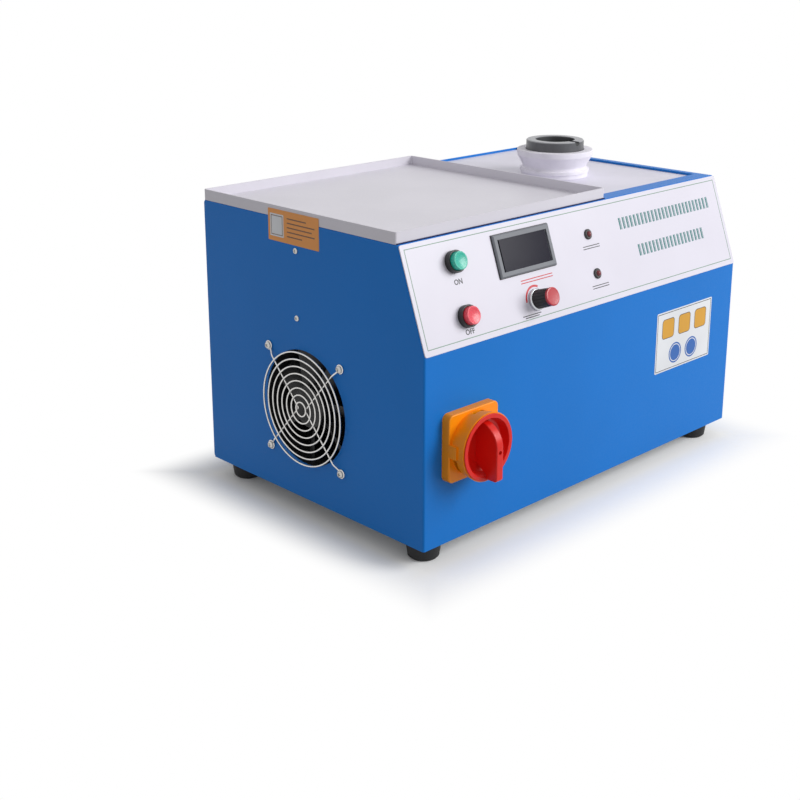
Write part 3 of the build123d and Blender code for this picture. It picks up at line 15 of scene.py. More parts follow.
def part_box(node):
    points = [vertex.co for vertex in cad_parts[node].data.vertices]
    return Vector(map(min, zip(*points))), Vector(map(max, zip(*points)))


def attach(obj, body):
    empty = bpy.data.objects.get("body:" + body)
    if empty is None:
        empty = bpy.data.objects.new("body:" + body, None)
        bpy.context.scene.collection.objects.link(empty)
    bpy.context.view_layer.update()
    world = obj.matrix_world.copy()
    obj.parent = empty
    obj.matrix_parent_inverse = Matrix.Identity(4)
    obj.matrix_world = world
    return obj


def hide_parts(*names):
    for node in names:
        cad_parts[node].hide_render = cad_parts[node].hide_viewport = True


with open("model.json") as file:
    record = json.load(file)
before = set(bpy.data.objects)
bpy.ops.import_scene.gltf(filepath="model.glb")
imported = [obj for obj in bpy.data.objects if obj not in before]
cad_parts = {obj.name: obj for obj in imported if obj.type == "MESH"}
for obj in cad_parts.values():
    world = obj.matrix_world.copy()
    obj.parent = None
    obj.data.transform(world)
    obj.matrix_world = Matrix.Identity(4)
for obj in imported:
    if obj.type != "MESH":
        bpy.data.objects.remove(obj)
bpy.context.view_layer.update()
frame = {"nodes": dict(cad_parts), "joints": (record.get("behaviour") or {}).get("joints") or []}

log = logging.getLogger("furnace")

MM = 0.001
NOISE_SPAN = (0.3, 0.7)  # where most values of a noise texture lie
ROUGHNESS_SWING = 0.12  # how far the gloss drifts to each side, as a share
COAT_ROUGHNESS = 0.15
CAPITAL_SHARE = 0.7  # height of a capital as a share of the font's size
WELD = 1e-4  # points nearer than this are one, in millimetres
SAME_LEVEL = 0.01  # heights nearer than this are the same, in millimetres
FLAT = 0.99  # least share of a normal that faces straight along an axis
QUARTERS = ((1, 1), (-1, 1), (-1, -1), (1, -1))

Colour = tuple[float, float, float]
Point = tuple[float, float]
Outline = Sequence[Point]
Mesh = bmesh.types.BMesh
Socket = bpy.types.NodeSocket


class Body(Enum):
    """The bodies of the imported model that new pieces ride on."""

    HOUSING = "housing"
    POWER_KNOB = "power_knob"
    ISOLATOR = "isolator_rotor"
    START = "start_button"
    STOP = "stop_button"


def srgb(red: int, green: int, blue: int) -> Colour:
    """Turn a colour of 0 to 255 as seen on a screen into the linear values a shader takes."""
    def linear(value: float) -> float:
        """Undo the screen's curve for one channel."""
        return value / 12.92 if value <= 0.04045 else ((value + 0.055) / 1.055) ** 2.4

    return (linear(red / 255), linear(green / 255), linear(blue / 255))


def scaled(colour: Colour, share: float) -> Colour:
    """Lighten or darken a linear colour by a share, kept within 0 and 1."""
    return tuple(min(1.0, channel * share) for channel in colour)


# ---------------------------------------------------------------- node groups and finishes


class Link:
    """Short ways to lay shader nodes in one tree."""

    def __init__(self, tree: bpy.types.NodeTree) -> None:
        """Work in the given tree."""
        self.tree = tree

    def add(self, kind: str, **settings: object) -> bpy.types.Node:
        """Add a node of a kind.

        Args:
            kind: Blender's name of the node type.
            settings: attributes to set on the node.

        Returns:
            The new node.
        """
        node = self.tree.nodes.new(kind)
        for name, value in settings.items():
            setattr(node, name, value)
        return node

    def join(self, source: Socket, target: Socket) -> None:
        """Connect an output to an input."""
        self.tree.links.new(source, target)

    def math(self, operation: str, first: object, second: object = 0.0) -> Socket:
        """Add a Math node.

        Args:
            operation: Blender's name of the operation.
            first: a number or the socket that feeds the first input.
            second: a number or the socket that feeds the second input.

        Returns:
            The node's output.
        """
        node = self.add("ShaderNodeMath", operation=operation)
        for socket, value in zip(node.inputs, (first, second)):
            if isinstance(value, Socket):
                self.join(value, socket)
            else:
                socket.default_value = value
        return node.outputs[0]

    def noise(self, vector: Socket, detail: float) -> Socket:
        """Add a noise texture of scale 1 on a vector and return its value."""
        node = self.add("ShaderNodeTexNoise")
        node.inputs["Scale"].default_value = 1.0
        node.inputs["Detail"].default_value = detail
        self.join(vector, node.inputs["Vector"])
        return node.outputs["Fac"]

    def between(self, mask: Socket, low: Colour, high: Colour) -> Socket:
        """Mix two colours by a mask and return the mixed colour."""
        node = self.add("ShaderNodeMix", data_type="RGBA")
        self.join(mask, node.inputs["Factor"])
        node.inputs["A"].default_value = (*low, 1.0)
        node.inputs["B"].default_value = (*high, 1.0)
        return node.outputs["Result"]

    def spread(self, value: Socket, low: float, high: float, start: float, end: float) -> Socket:
        """Map a value from one range to another.

        Args:
            value: the socket to map.
            low: where the incoming range starts.
            high: where the incoming range ends.
            start: what the start becomes.
            end: what the end becomes.

        Returns:
            The mapped value.
        """
        node = self.add("ShaderNodeMapRange", interpolation_type="SMOOTHSTEP")
        self.join(value, node.inputs["Value"])
        names = ("From Min", "From Max", "To Min", "To Max")
        for name, number in zip(names, (low, high, start, end)):
            node.inputs[name].default_value = number
        return node.outputs["Result"]


def grain_group() -> bpy.types.NodeTree:
    """Make, once, the group with the fine relief and the slow drift that all finishes share.

    Returns:
        A group that takes Position, Grain and Drift in metres, and puts out Relief and Tone.
    """
    name = "surface grain"
    if name in bpy.data.node_groups:
        return bpy.data.node_groups[name]
    group = bpy.data.node_groups.new(name, "ShaderNodeTree")
    sockets = group.interface
    sockets.new_socket("Position", in_out="INPUT", socket_type="NodeSocketVector")
    for size in ("Grain", "Drift"):
        sockets.new_socket(size, in_out="INPUT", socket_type="NodeSocketFloat")
    for result in ("Relief", "Tone"):
        sockets.new_socket(result, in_out="OUTPUT", socket_type="NodeSocketFloat")
    link = Link(group)
    given = link.add("NodeGroupInput")
    result = link.add("NodeGroupOutput")
    for size, output, detail in (("Grain", "Relief", 3.0), ("Drift", "Tone", 2.0)):
        divide = link.math("DIVIDE", 1.0, given.outputs[size])
        scale = link.add("ShaderNodeVectorMath", operation="SCALE")
        link.join(given.outputs["Position"], scale.inputs["Vector"])
        link.join(divide, scale.inputs["Scale"])
        link.join(link.noise(scale.outputs["Vector"], detail), result.inputs[output])
    return group


@dataclass(frozen=True)
class Finish:
    """A plain finish: one colour with slow drift in tone and gloss, and a fine relief."""

    name: str
    slot: str
    colour: Colour
    roughness: float = 0.5
    metallic: float = 0.0
    gloss: float = 0.5
    coat: float = 0.0
    drift: float = 0.05
    drift_mm: float = 70.0
    grain_mm: float = 0.8
    relief_mm: float = 0.02
    stretch: tuple[float, float, float] = (1.0, 1.0, 1.0)

    def material(self) -> bpy.types.Material:
        """Return the finish's material, made on its first use."""
        made = bpy.data.materials.get(self.name)
        if made is None:
            made = bpy.data.materials.new(self.name)
            made.use_nodes = True
            made.node_tree.nodes.clear()
            self.build(Link(made.node_tree))
        return made

    def build(self, link: Link) -> None:
        """Lay the nodes of the material."""
        output = link.add("ShaderNodeOutputMaterial")
        shader = link.add("ShaderNodeBsdfPrincipled")
        link.join(shader.outputs["BSDF"], output.inputs["Surface"])
        shader.inputs["Metallic"].default_value = self.metallic
        shader.inputs["Specular IOR Level"].default_value = self.gloss
        shader.inputs["Coat Weight"].default_value = self.coat
        shader.inputs["Coat Roughness"].default_value = COAT_ROUGHNESS
        place = link.add("ShaderNodeTexCoord")
        turn = link.add("ShaderNodeMapping")
        turn.inputs["Scale"].default_value = self.stretch
        link.join(place.outputs["Object"], turn.inputs["Vector"])
        grain = link.add("ShaderNodeGroup", node_tree=grain_group())
        grain.inputs["Grain"].default_value = self.grain_mm * MM
        grain.inputs["Drift"].default_value = self.drift_mm * MM
        link.join(turn.outputs["Vector"], grain.inputs["Position"])
        tone = link.spread(grain.outputs["Tone"], *NOISE_SPAN, 0.0, 1.0)
        colour = link.between(
            tone, scaled(self.colour, 1 - self.drift), scaled(self.colour, 1 + self.drift)
        )
        link.join(self.tint(link, place, colour), shader.inputs["Base Color"])
        swing = self.roughness * ROUGHNESS_SWING
        rough = link.spread(
            grain.outputs["Relief"], *NOISE_SPAN, self.roughness - swing, self.roughness + swing
        )
        link.join(rough, shader.inputs["Roughness"])
        bump = link.add("ShaderNodeBump")
        bump.inputs["Strength"].default_value = 1.0
        bump.inputs["Distance"].default_value = self.relief_mm * MM
        link.join(grain.outputs["Relief"], bump.inputs["Height"])
        link.join(bump.outputs["Normal"], shader.inputs["Normal"])
        self.special(shader)

    def tint(self, link: Link, place: bpy.types.Node, colour: Socket) -> Socket:
        """Return the colour to use; kinds of finish with a pattern or a painted highlight change
        it here.
        """
        return colour

    def special(self, shader: bpy.types.Node) -> None:
        """Set the shader's constant inputs that only one kind of finish needs."""


@dataclass(frozen=True)
class Translucent(Finish):
    """Clear coloured plastic that lets some light through."""

    passing: float = 0.4
    painted_glow: float = 0.0
    scatter: float = 0.15
    scatter_mm: float = 2.0

    def special(self, shader: bpy.types.Node) -> None:
        """Let light pass, and add a faint painted glow in the plastic's own colour."""
        shader.inputs["Transmission Weight"].default_value = self.passing
        shader.inputs["Subsurface Weight"].default_value = self.scatter
        shader.inputs["Subsurface Scale"].default_value = self.scatter_mm * MM
        shader.inputs["Emission Color"].default_value = (*self.colour, 1.0)
        shader.inputs["Emission Strength"].default_value = self.painted_glow


@dataclass(frozen=True)
class TurnedGraphite(Finish):
    """Fine machined graphite, with a painted highlight that lightens its top face towards the
    rim.
    """

    # the rim colour is a painted highlight, laid by height onto the top face of the crucible
    highlight_top_height: float = 0.3366
    highlight_fade: float = 0.0008
    painted_highlight_colour: Colour = (0.3, 0.3, 0.31)

    def tint(self, link: Link, place: bpy.types.Node, colour: Socket) -> Socket:
        """Paint a highlight on the rim, lighter by height."""
        parts = link.add("ShaderNodeSeparateXYZ")
        link.join(place.outputs["Object"], parts.inputs["Vector"])
        low = self.highlight_top_height - self.highlight_fade
        mask = link.spread(parts.outputs["Z"], low, self.highlight_top_height, 0.0, 1.0)
        mix = link.add("ShaderNodeMix", data_type="RGBA")
        link.join(mask, mix.inputs["Factor"])
        link.join(colour, mix.inputs["A"])
        mix.inputs["B"].default_value = (*self.painted_highlight_colour, 1.0)
        return mix.outputs["Result"]


@dataclass(frozen=True)
class CircuitBoard(Finish):
    """Green board with a pattern of copper tracks under the lacquer."""

    track_mm: float = 3.0
    track_share: float = 0.05
    track_tone: float = 1.8
    stagger: float = 0.37

    def tint(self, link: Link, place: bpy.types.Node, colour: Socket) -> Socket:
        """Draw lighter tracks with a brick pattern."""
        bricks = link.add("ShaderNodeTexBrick", offset=self.stagger)
        link.join(place.outputs["Object"], bricks.inputs["Vector"])
        bricks.inputs["Scale"].default_value = 1 / (self.track_mm * MM)
        bricks.inputs["Mortar Size"].default_value = self.track_share
        link.join(colour, bricks.inputs["Color1"])
        link.join(colour, bricks.inputs["Color2"])
        bricks.inputs["Mortar"].default_value = (*scaled(self.colour, self.track_tone), 1.0)
        return bricks.outputs["Color"]


CASE_BLUE = Finish(
    "case blue powder coat", "case_blue", srgb(6, 116, 204), 0.45, gloss=0.25,
    drift=0.03, drift_mm=160, grain_mm=1.6, relief_mm=0.035,
)
ZINC_SHEET = Finish(
    "zinc coated sheet", "zinc_sheet", srgb(176, 180, 184), 0.38, 0.9, drift=0.12, drift_mm=9,
)
DECK_WHITE = Finish("deck white coat", "deck_white", srgb(219, 216, 230), 0.4, grain_mm=1.4)
TRAY_WHITE = Finish(
    "tray white coat", "tray_white", srgb(218, 215, 224), 0.38, grain_mm=1.4, relief_mm=0.03,
    drift=0.02,
)
PANEL_FILM = Finish(
    "printed panel film", "panel_print", srgb(216, 213, 225), 0.36, drift=0.015, grain_mm=0.35,
    relief_mm=0.012,
)
ZINC_STEEL = Finish("zinc plated steel", "zinc_steel", srgb(190, 188, 184), 0.3, 0.95)
FAN_BLACK = Finish("fan black", "fan_black", srgb(20, 20, 22), 0.5)
GUARD_CHROME = Finish(
    "bright guard wire", "guard_chrome", srgb(215, 213, 210), 0.25, 0.85, drift=0.06, drift_mm=12,
)
SWITCH_ORANGE = Finish(
    "isolator orange plastic", "isolator_orange", srgb(255, 150, 12), 0.34, gloss=0.3, drift=0.03,
    grain_mm=0.5,
)
SWITCH_RED = Finish(
    "isolator red plastic", "isolator_red", srgb(218, 26, 16), 0.34, gloss=0.35, drift=0.04,
    grain_mm=0.5,
)
MOULDED_BLACK = Finish("moulded black", "moulded_black", srgb(28, 28, 30), 0.42, grain_mm=0.5)
BEZEL_GREY = Finish("bezel grey", "bezel_grey", srgb(112, 115, 122), 0.5, grain_mm=0.5)
SCREEN_DARK = Finish(
    "display glass", "screen_dark", srgb(26, 25, 40), 0.14, gloss=0.08, drift=0.02,
    relief_mm=0.001,
)
TURNED_ALUMINIUM = Finish(
    "turned aluminium", "turned_aluminium", srgb(196, 198, 202), 0.3, 0.95, grain_mm=0.3,
)
KNOB_RED = Finish(
    "knob cap red", "knob_red", srgb(178, 24, 40), 0.34, coat=0.2, relief_mm=0.004,
)
LAMP_RED = Translucent(
    "lamp lens red", "lamp_red", srgb(126, 26, 38), 0.12, relief_mm=0.002, passing=0.2,
)
BOARD_GREEN = CircuitBoard("lacquered board", "board_green", srgb(18, 84, 48), 0.35)
# the lighter rim colour here is a painted highlight on the crucible's top face
GRAPHITE = TurnedGraphite(
    "machined graphite", "graphite", srgb(66, 67, 71), 0.36, gloss=0.9, drift=0.12, drift_mm=10,
    grain_mm=0.35, relief_mm=0.03, stretch=(1.0, 1.0, 0.25), painted_highlight_colour=srgb(146, 147, 152),
)
COLLAR_CERAMIC = Finish(
    "cast ceramic", "collar_ceramic", srgb(234, 231, 240), 0.6, drift=0.03, drift_mm=12,
    grain_mm=0.5, relief_mm=0.05,
)
REFRACTORY = Finish("refractory brick", "refractory", srgb(214, 200, 176), 0.9, relief_mm=0.2)
FIBRE_BLANKET = Finish("fibre blanket", "fibre_blanket", srgb(226, 224, 216), 0.95, relief_mm=0.4)
COPPER = Finish("copper tube", "copper", srgb(200, 118, 82), 0.28, 0.95, drift=0.1)
FERRITE = Finish("ferrite", "ferrite", srgb(44, 44, 48), 0.6)
CAPACITOR_SLEEVE = Finish("capacitor sleeve", "capacitor_sleeve", srgb(30, 44, 84), 0.3)
BRASS = Finish("machined brass", "brass", srgb(204, 168, 96), 0.28, 0.95, drift=0.08)
HOSE_RUBBER = Finish("hose rubber", "hose_rubber", srgb(30, 30, 32), 0.6)
# the start and stop caps carry a faint painted glow, though they are not lamps
CAP_GREEN = Translucent(
    "start cap green", "cap_green", srgb(46, 184, 162), 0.26, relief_mm=0.003, passing=0.1,
    painted_glow=0.05,
)
CAP_RED = Translucent(
    "stop cap red", "cap_red", srgb(228, 72, 88), 0.26, relief_mm=0.003, passing=0.1,
    painted_glow=0.05,
)
# a navy strip that paints the shade in the gap under the tray's front edge
SHADE_STRIP_NAVY = Finish("painted shade strip", "hose_rubber", srgb(24, 30, 78), 0.55, gloss=0.2)
FOOT_RUBBER = Finish("foot rubber", "foot_rubber", srgb(26, 26, 28), 0.7, grain_mm=0.7)
INK_BLACK = Finish("black ink", "panel_print", srgb(40, 44, 50), 0.4)
INK_RED = Finish("red ink", "panel_print", srgb(196, 44, 54), 0.4)
INK_TEAL = Finish("teal ink", "panel_print", srgb(28, 112, 112), 0.4)
INK_GREEN = Finish("grey green ink", "panel_print", srgb(120, 150, 132), 0.4)
LABEL_ORANGE = Finish(
    "orange label film", "panel_print", srgb(236, 158, 82), 0.4, gloss=0.4, drift=0.04,
)
LABEL_WHITE = Finish("white label film", "panel_print", srgb(226, 228, 232), 0.4)
INK_AMBER = Finish("amber ink", "panel_print", srgb(214, 156, 40), 0.4)
INK_BLUE = Finish("blue ink", "panel_print", srgb(30, 96, 176), 0.4)
INK_BROWN = Finish("brown ink", "panel_print", srgb(96, 62, 38), 0.4)


# ---------------------------------------------------------------- places and shapes


@dataclass(frozen=True)
class Place:
    """A spot on the furnace in millimetres, with its right, up and outward directions."""

    origin: Vector
    right: Vector
    up: Vector

    @property
    def out(self) -> Vector:
        """Direction that points away from the surface."""
        return self.right.cross(self.up)

    def at(self, x: float, y: float, z: float = 0.0) -> "Place":
        """Return the place moved along its own directions."""
        moved = self.origin + self.right * x + self.up * y + self.out * z
        return Place(moved, self.right, self.up)

    def matrix(self) -> Matrix:
        """Return the transform from this place, in millimetres, to the row frame in metres."""
        turn = Matrix((self.right, self.up, self.out)).transposed().to_4x4()
        return Matrix.Scale(MM, 4) @ Matrix.Translation(self.origin) @ turn


def joint(name: str) -> dict:
    """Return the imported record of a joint."""
    return next(one for one in frame["joints"] if one["name"] == name)


def joint_place(name: str, right: Vector) -> Place:
    """Return the place on a hinge's axis, facing along it.

    Args:
        name: the joint.
        right: the direction to call right, square to the axis.

    Returns:
        The place, in millimetres.
    """
    data = joint(name)
    out = Vector(data["axis"]).normalized()
    return Place(Vector(data["pos_m"]) / MM, right, out.cross(right))


def low_corner(node: str) -> Vector:
    """Return the lowest corner of a CAD node in millimetres."""
    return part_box(node)[0] / MM


def high_corner(node: str) -> Vector:
    """Return the highest corner of a CAD node in millimetres."""
    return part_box(node)[1] / MM


def soften(mesh: Mesh, radius: float, steps: int = 2, angle: float = 35.0) -> None:
    """Round every edge whose faces meet at more than an angle.

    Args:
        mesh: the mesh to round.
        radius: size of the rounding.
        steps: segments of the rounding.
        angle: least angle between the faces, in degrees.
    """
    sharp = [
        edge for edge in mesh.edges
        if len(edge.link_faces) == 2 and edge.calc_face_angle(0) > radians(angle)
    ]
    bmesh.ops.bevel(
        mesh, geom=sharp, offset=radius, offset_type="OFFSET", affect="EDGES",
        segments=steps, profile=0.5, material=-1, clamp_overlap=True,
    )


def turned(outline: Outline, sides: int = 72, closed: bool = False) -> Mesh:
    """Turn an outline of (radius, height) points about the axis.

    Args:
        outline: the points, in millimetres.
        sides: steps of the full turn.
        closed: join the last point to the first, for a ring.

    Returns:
        The mesh.
    """
    mesh = bmesh.new()
    points = [mesh.verts.new((radius, 0.0, height)) for radius, height in outline]
    ends = zip(points, points[1:] + points[:1] if closed else points[1:])
    edges = [mesh.edges.new(pair) for pair in ends]
    bmesh.ops.spin(
        mesh, geom=points + edges, cent=(0, 0, 0), axis=(0, 0, 1), angle=2 * pi,
        steps=sides, use_merge=True, use_duplicate=False,
    )
    bmesh.ops.remove_doubles(mesh, verts=mesh.verts, dist=WELD)
    bmesh.ops.recalc_face_normals(mesh, faces=mesh.faces)
    return mesh


def slab(size: Point, low: float, high: float, corner: float = 0.0, steps: int = 6) -> Mesh:
    """Make a plate between two heights.

    Args:
        size: width and height of the plate.
        low: its lower height.
        high: its upper height.
        corner: radius of its four upright edges.
        steps: segments of each corner.

    Returns:
        The mesh.
    """
    mesh = bmesh.new()
    middle = Matrix.Translation((0, 0, (low + high) / 2))
    spread = Matrix.Diagonal((size[0], size[1], high - low, 1))
    bmesh.ops.create_cube(mesh, size=1.0, matrix=middle @ spread)
    if corner > 0:
        upright = [
            edge for edge in mesh.edges
            if abs(edge.verts[0].co.z - edge.verts[1].co.z) > (high - low) / 2
        ]
        bmesh.ops.bevel(
            mesh, geom=upright, offset=corner, offset_type="OFFSET", affect="EDGES",
            segments=steps, profile=0.5, material=-1,
        )
    return mesh


def prism(outline: Outline, low: float, high: float, hole: Outline = ()) -> Mesh:
    """Make a prism of a closed outline between two heights.

    Args:
        outline: the points in order.
        low: the lower height.
        high: the upper height.
        hole: the points of a hole through it, if it has one.

    Returns:
        The mesh.
    """
    mesh = bmesh.new()
    edges = []
    for loop in (outline, hole):
        points = [mesh.verts.new((x, y, low)) for x, y in loop]
        edges += [mesh.edges.new(pair) for pair in zip(points, points[1:] + points[:1])]
    if hole:
        bmesh.ops.triangle_fill(mesh, use_beauty=True, edges=edges)
    else:
        bmesh.ops.contextual_create(mesh, geom=edges)
    grown = bmesh.ops.extrude_face_region(mesh, geom=mesh.faces[:])
    raised = [item for item in grown["geom"] if isinstance(item, bmesh.types.BMVert)]
    bmesh.ops.translate(mesh, verts=raised, vec=(0, 0, high - low))
    if hole:
        bmesh.ops.dissolve_limit(
            mesh, angle_limit=radians(1), verts=mesh.verts, edges=mesh.edges,
        )
    bmesh.ops.recalc_face_normals(mesh, faces=mesh.faces)
    return mesh


def sink(
    mesh: Mesh, rim: list[bmesh.types.BMEdge], outline: Sequence[Vector], depth: Vector,
    taper: float = 1.0,
) -> None:
    """Fill the flat gap inside a loop of edges, with a recess in the middle of it.

    Args:
        mesh: the mesh to work on.
        rim: the edges round the gap.
        outline: the corners of the recess, in the plane of the gap.
        depth: how far and which way the floor of the recess lies from its mouth.
        taper: size of the floor as a share of the mouth.
    """
    points = [mesh.verts.new(spot) for spot in outline]
    loop = [mesh.edges.new(pair) for pair in zip(points, points[1:] + points[:1])]
    bmesh.ops.triangle_fill(mesh, use_beauty=True, edges=rim + loop)
    for face in list(mesh.faces):
        if all(vert in points for vert in face.verts):
            mesh.faces.remove(face)
    grown = bmesh.ops.extrude_edge_only(mesh, edges=loop)["geom"]
    low = [item for item in grown if isinstance(item, bmesh.types.BMVert)]
    middle = sum(outline, Vector()) / len(outline)
    bmesh.ops.scale(mesh, verts=low, vec=(taper,) * 3, space=Matrix.Translation(-middle))
    bmesh.ops.translate(mesh, verts=low, vec=depth)
    ends = [item for item in grown if isinstance(item, bmesh.types.BMEdge) and item.is_boundary]
    bmesh.ops.contextual_create(mesh, geom=ends)
    bmesh.ops.recalc_face_normals(mesh, faces=mesh.faces)


def arc(centre: Point, radius: float, start: float, end: float, steps: int) -> list[Point]:
    """Return points along an arc, its angles in degrees."""
    angles = [radians(start + (end - start) * step / steps) for step in range(steps + 1)]
    return [(centre[0] + radius * cos(a), centre[1] + radius * sin(a)) for a in angles]


def circle(centre: Point, radius: float, sides: int) -> list[Point]:
    """Return the corners of a regular polygon."""
    return arc(centre, radius, 0, 360, sides)[:-1]


def rectangle(size: Point) -> list[Point]:
    """Return the corners of a rectangle about the middle."""
    return [(x * size[0] / 2, y * size[1] / 2) for x, y in QUARTERS]


def solid_of(data: bpy.types.Curve) -> Mesh:
    """Turn a curve or a text into a mesh, and remove its data."""
    holder = bpy.data.objects.new(data.name, data)
    solid = bpy.data.meshes.new_from_object(holder)
    mesh = bmesh.new()
    mesh.from_mesh(solid)
    bpy.data.objects.remove(holder)
    bpy.data.curves.remove(data)
    bpy.data.meshes.remove(solid)
    return mesh


def wire(points: Sequence[Vector], radius: float, bend: float, sides: int = 5) -> Mesh:
    """Make a round wire along a path whose corners are bent.

    Args:
        points: corners of the path.
        radius: radius of the wire.
        bend: how far before and after each corner the bend reaches.
        sides: resolution of the round section.

    Returns:
        The mesh.
    """
    path = [points[0]]
    for before, corner, after in zip(points, points[1:], points[2:]):
        path.append(corner + (before - corner).normalized() * bend)
        path.append(corner)
        path.append(corner + (after - corner).normalized() * bend)
    path.append(points[-1])
    data = bpy.data.curves.new("wire path", "CURVE")
    data.dimensions = "3D"
    line = data.splines.new("NURBS")
    line.points.add(len(path) - 1)
    for spot, place in zip(line.points, path):
        spot.co = (*place, 1.0)
    line.use_endpoint_u = True
    line.order_u = 3
    data.resolution_u = 8
    data.bevel_depth = radius
    data.bevel_resolution = sides - 2
    data.use_fill_caps = True
    mesh = solid_of(data)
    bmesh.ops.recalc_face_normals(mesh, faces=mesh.faces)
    return mesh


def rounded(size: Point, radius: float, steps: int = 5) -> list[Point]:
    """Return the corners of a rectangle with rounded corners about the middle."""
    outline = []
    for quarter, (x, y) in enumerate(QUARTERS):
        middle = (x * (size[0] / 2 - radius), y * (size[1] / 2 - radius))
        outline += arc(middle, radius, 90 * quarter, 90 * quarter + 90, steps)
    return outline


def words(text: str, height: float, low: float, thick: float, weight: float = 0.0) -> Mesh:
    """Make plain raised lettering centred on the place.

    Args:
        text: what it says.
        height: height of a capital.
        low: height of its underside.
        thick: its thickness.
        weight: how much each stroke grows to each side.

    Returns:
        The mesh.
    """
    data = bpy.data.curves.new("legend", "FONT")
    data.body = text
    data.size = height / CAPITAL_SHARE
    data.align_x = "CENTER"
    data.align_y = "CENTER"
    data.extrude = thick / 2
    data.offset = weight
    data.resolution_u = 3
    mesh = solid_of(data)
    bmesh.ops.remove_doubles(mesh, verts=mesh.verts, dist=WELD)
    bmesh.ops.translate(mesh, verts=mesh.verts, vec=(0, 0, low + thick / 2))
    bmesh.ops.recalc_face_normals(mesh, faces=mesh.faces)
    return mesh


class Piece:
    """A new piece of the furnace, gathered from solids on one place."""

    def __init__(self, name: str, place: Place) -> None:
        """Start an empty piece."""
        self.name = name
        self.place = place
        self.whole = bmesh.new()

    def add(self, mesh: Mesh, place: Place | None = None) -> "Piece":
        """Add a solid, which may lie on another place, and free its mesh.

        Args:
            mesh: the solid, in millimetres on its place.
            place: where it lies, if not on the piece's own place.

        Returns:
            This piece.
        """
        mesh.transform((place or self.place).matrix())
        carrier = bpy.data.meshes.new("part of a piece")
        mesh.to_mesh(carrier)
        self.whole.from_mesh(carrier)
        bpy.data.meshes.remove(carrier)
        mesh.free()
        return self

    def done(
        self, finish: Finish, body: Body, *replaced: str, smooth: float = 32.0
    ) -> bpy.types.Object:
        """Make the object, dress it and hand it to its body.

        Args:
            finish: its finish.
            body: the CAD body that it moves with.
            replaced: CAD nodes that it stands for.
            smooth: greatest angle that is shaded smooth, in degrees.

        Returns:
            The finished object.
        """
        data = bpy.data.meshes.new(self.name)
        self.whole.to_mesh(data)
        self.whole.free()
        data.materials.append(finish.material())
        data.shade_smooth()
        data.set_sharp_from_angle(angle=radians(smooth))
        piece = bpy.data.objects.new(self.name, data)
        bpy.context.scene.collection.objects.link(piece)
        flat = piece.modifiers.new("even shading", "WEIGHTED_NORMAL")
        flat.keep_sharp = True
        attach(piece, body.value)
        if replaced:
            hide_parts(*replaced)
        log.info("%s: %d faces, rides on %s", self.name, len(data.polygons), body.value)
        return piece


def dress(finish: Finish, *nodes: str) -> None:
    """Give CAD nodes a finish.

    Args:
        finish: the finish.
        nodes: names of the nodes.
    """
    for name in nodes:
        node = frame["nodes"][name]
        if not node.material_slots:
            node.data.materials.append(None)
        for slot in node.material_slots:
            slot.material = finish.material()
        log.info("%s: %s", name, finish.name)


# ---------------------------------------------------------------- places of this furnace

RIGHT = Vector((1, 0, 0))
UP = Vector((0, 0, 1))


@dataclass(frozen=True)
class Layout:
    """The faces of the case that carry its fittings, read from the frame."""

    knob_spot: Point = (-89.0, 23.0)  # the knob's place on the slope, along X and up the slope

    def slope(self) -> Place:
        """Place of the control slope: middle of its lower edge."""
        return joint_place("power_turn", RIGHT).at(-self.knob_spot[0], -self.knob_spot[1])

    def isolator(self) -> Place:
        """Place on the front at the isolator's axis."""
        return joint_place("isolator_turn", RIGHT)

    def fan(self) -> Place:
        """Place on the left side at the fan's axis."""
        return joint_place("fan_spin", Vector((0, -1, 0)))

    def well(self) -> Place:
        """Place on the crucible's axis at bench height."""
        middle = (low_corner("graphite_crucible") + high_corner("graphite_crucible")) / 2
        return Place(Vector((middle.x, middle.y, 0)), RIGHT, Vector((0, 1, 0)))

    def front(self) -> Place:
        """Place on the upright front, under the middle of the case at bench height."""
        return Place(Vector((0, low_corner("body_wrap").y, 0)), RIGHT, UP)

    def left(self) -> Place:
        """Place on the left side, at bench height."""
        return Place(Vector((low_corner("body_wrap").x, 0, 0)), Vector((0, -1, 0)), UP)


LAYOUT = Layout()


# ---------------------------------------------------------------- sub-assemblies


@dataclass
class Sheetwork:
    """The folded case, its base and back, the deck and the work tray."""

    shade_strip_width: float = 1.6
    shade_strip_height: float = 0.9
    shade_strip_inset: float = 1.0

    def build(self) -> None:
        """Dress the sheets and lay a navy strip of painted shade along the tray's front edge."""
        # the strip is painted shade: a dark sheet where the tray's front edge only casts shade
        low, high = low_corner("work_tray"), high_corner("work_tray")
        middle = Vector(((low.x + high.x) / 2, low.y - self.shade_strip_width / 2, low.z))
        length = high.x - low.x - 2 * self.shade_strip_inset
        shade_strip = slab((length, self.shade_strip_width), 0, self.shade_strip_height)
        Piece("tray_front_shade_strip", Place(middle, RIGHT, Vector((0, 1, 0)))).add(shade_strip).done(
            SHADE_STRIP_NAVY, Body.HOUSING,
        )
        dress(CASE_BLUE, "body_wrap", "back_panel")
        dress(ZINC_SHEET, "base_pan", "well_bracket", "supply_bracket")
        dress(DECK_WHITE, "deck_plate")
        dress(TRAY_WHITE, "work_tray")


@dataclass(frozen=True)
class Mark:
    """A short printed bar on the slope: its middle and its size."""

    spot: Point
    size: Point


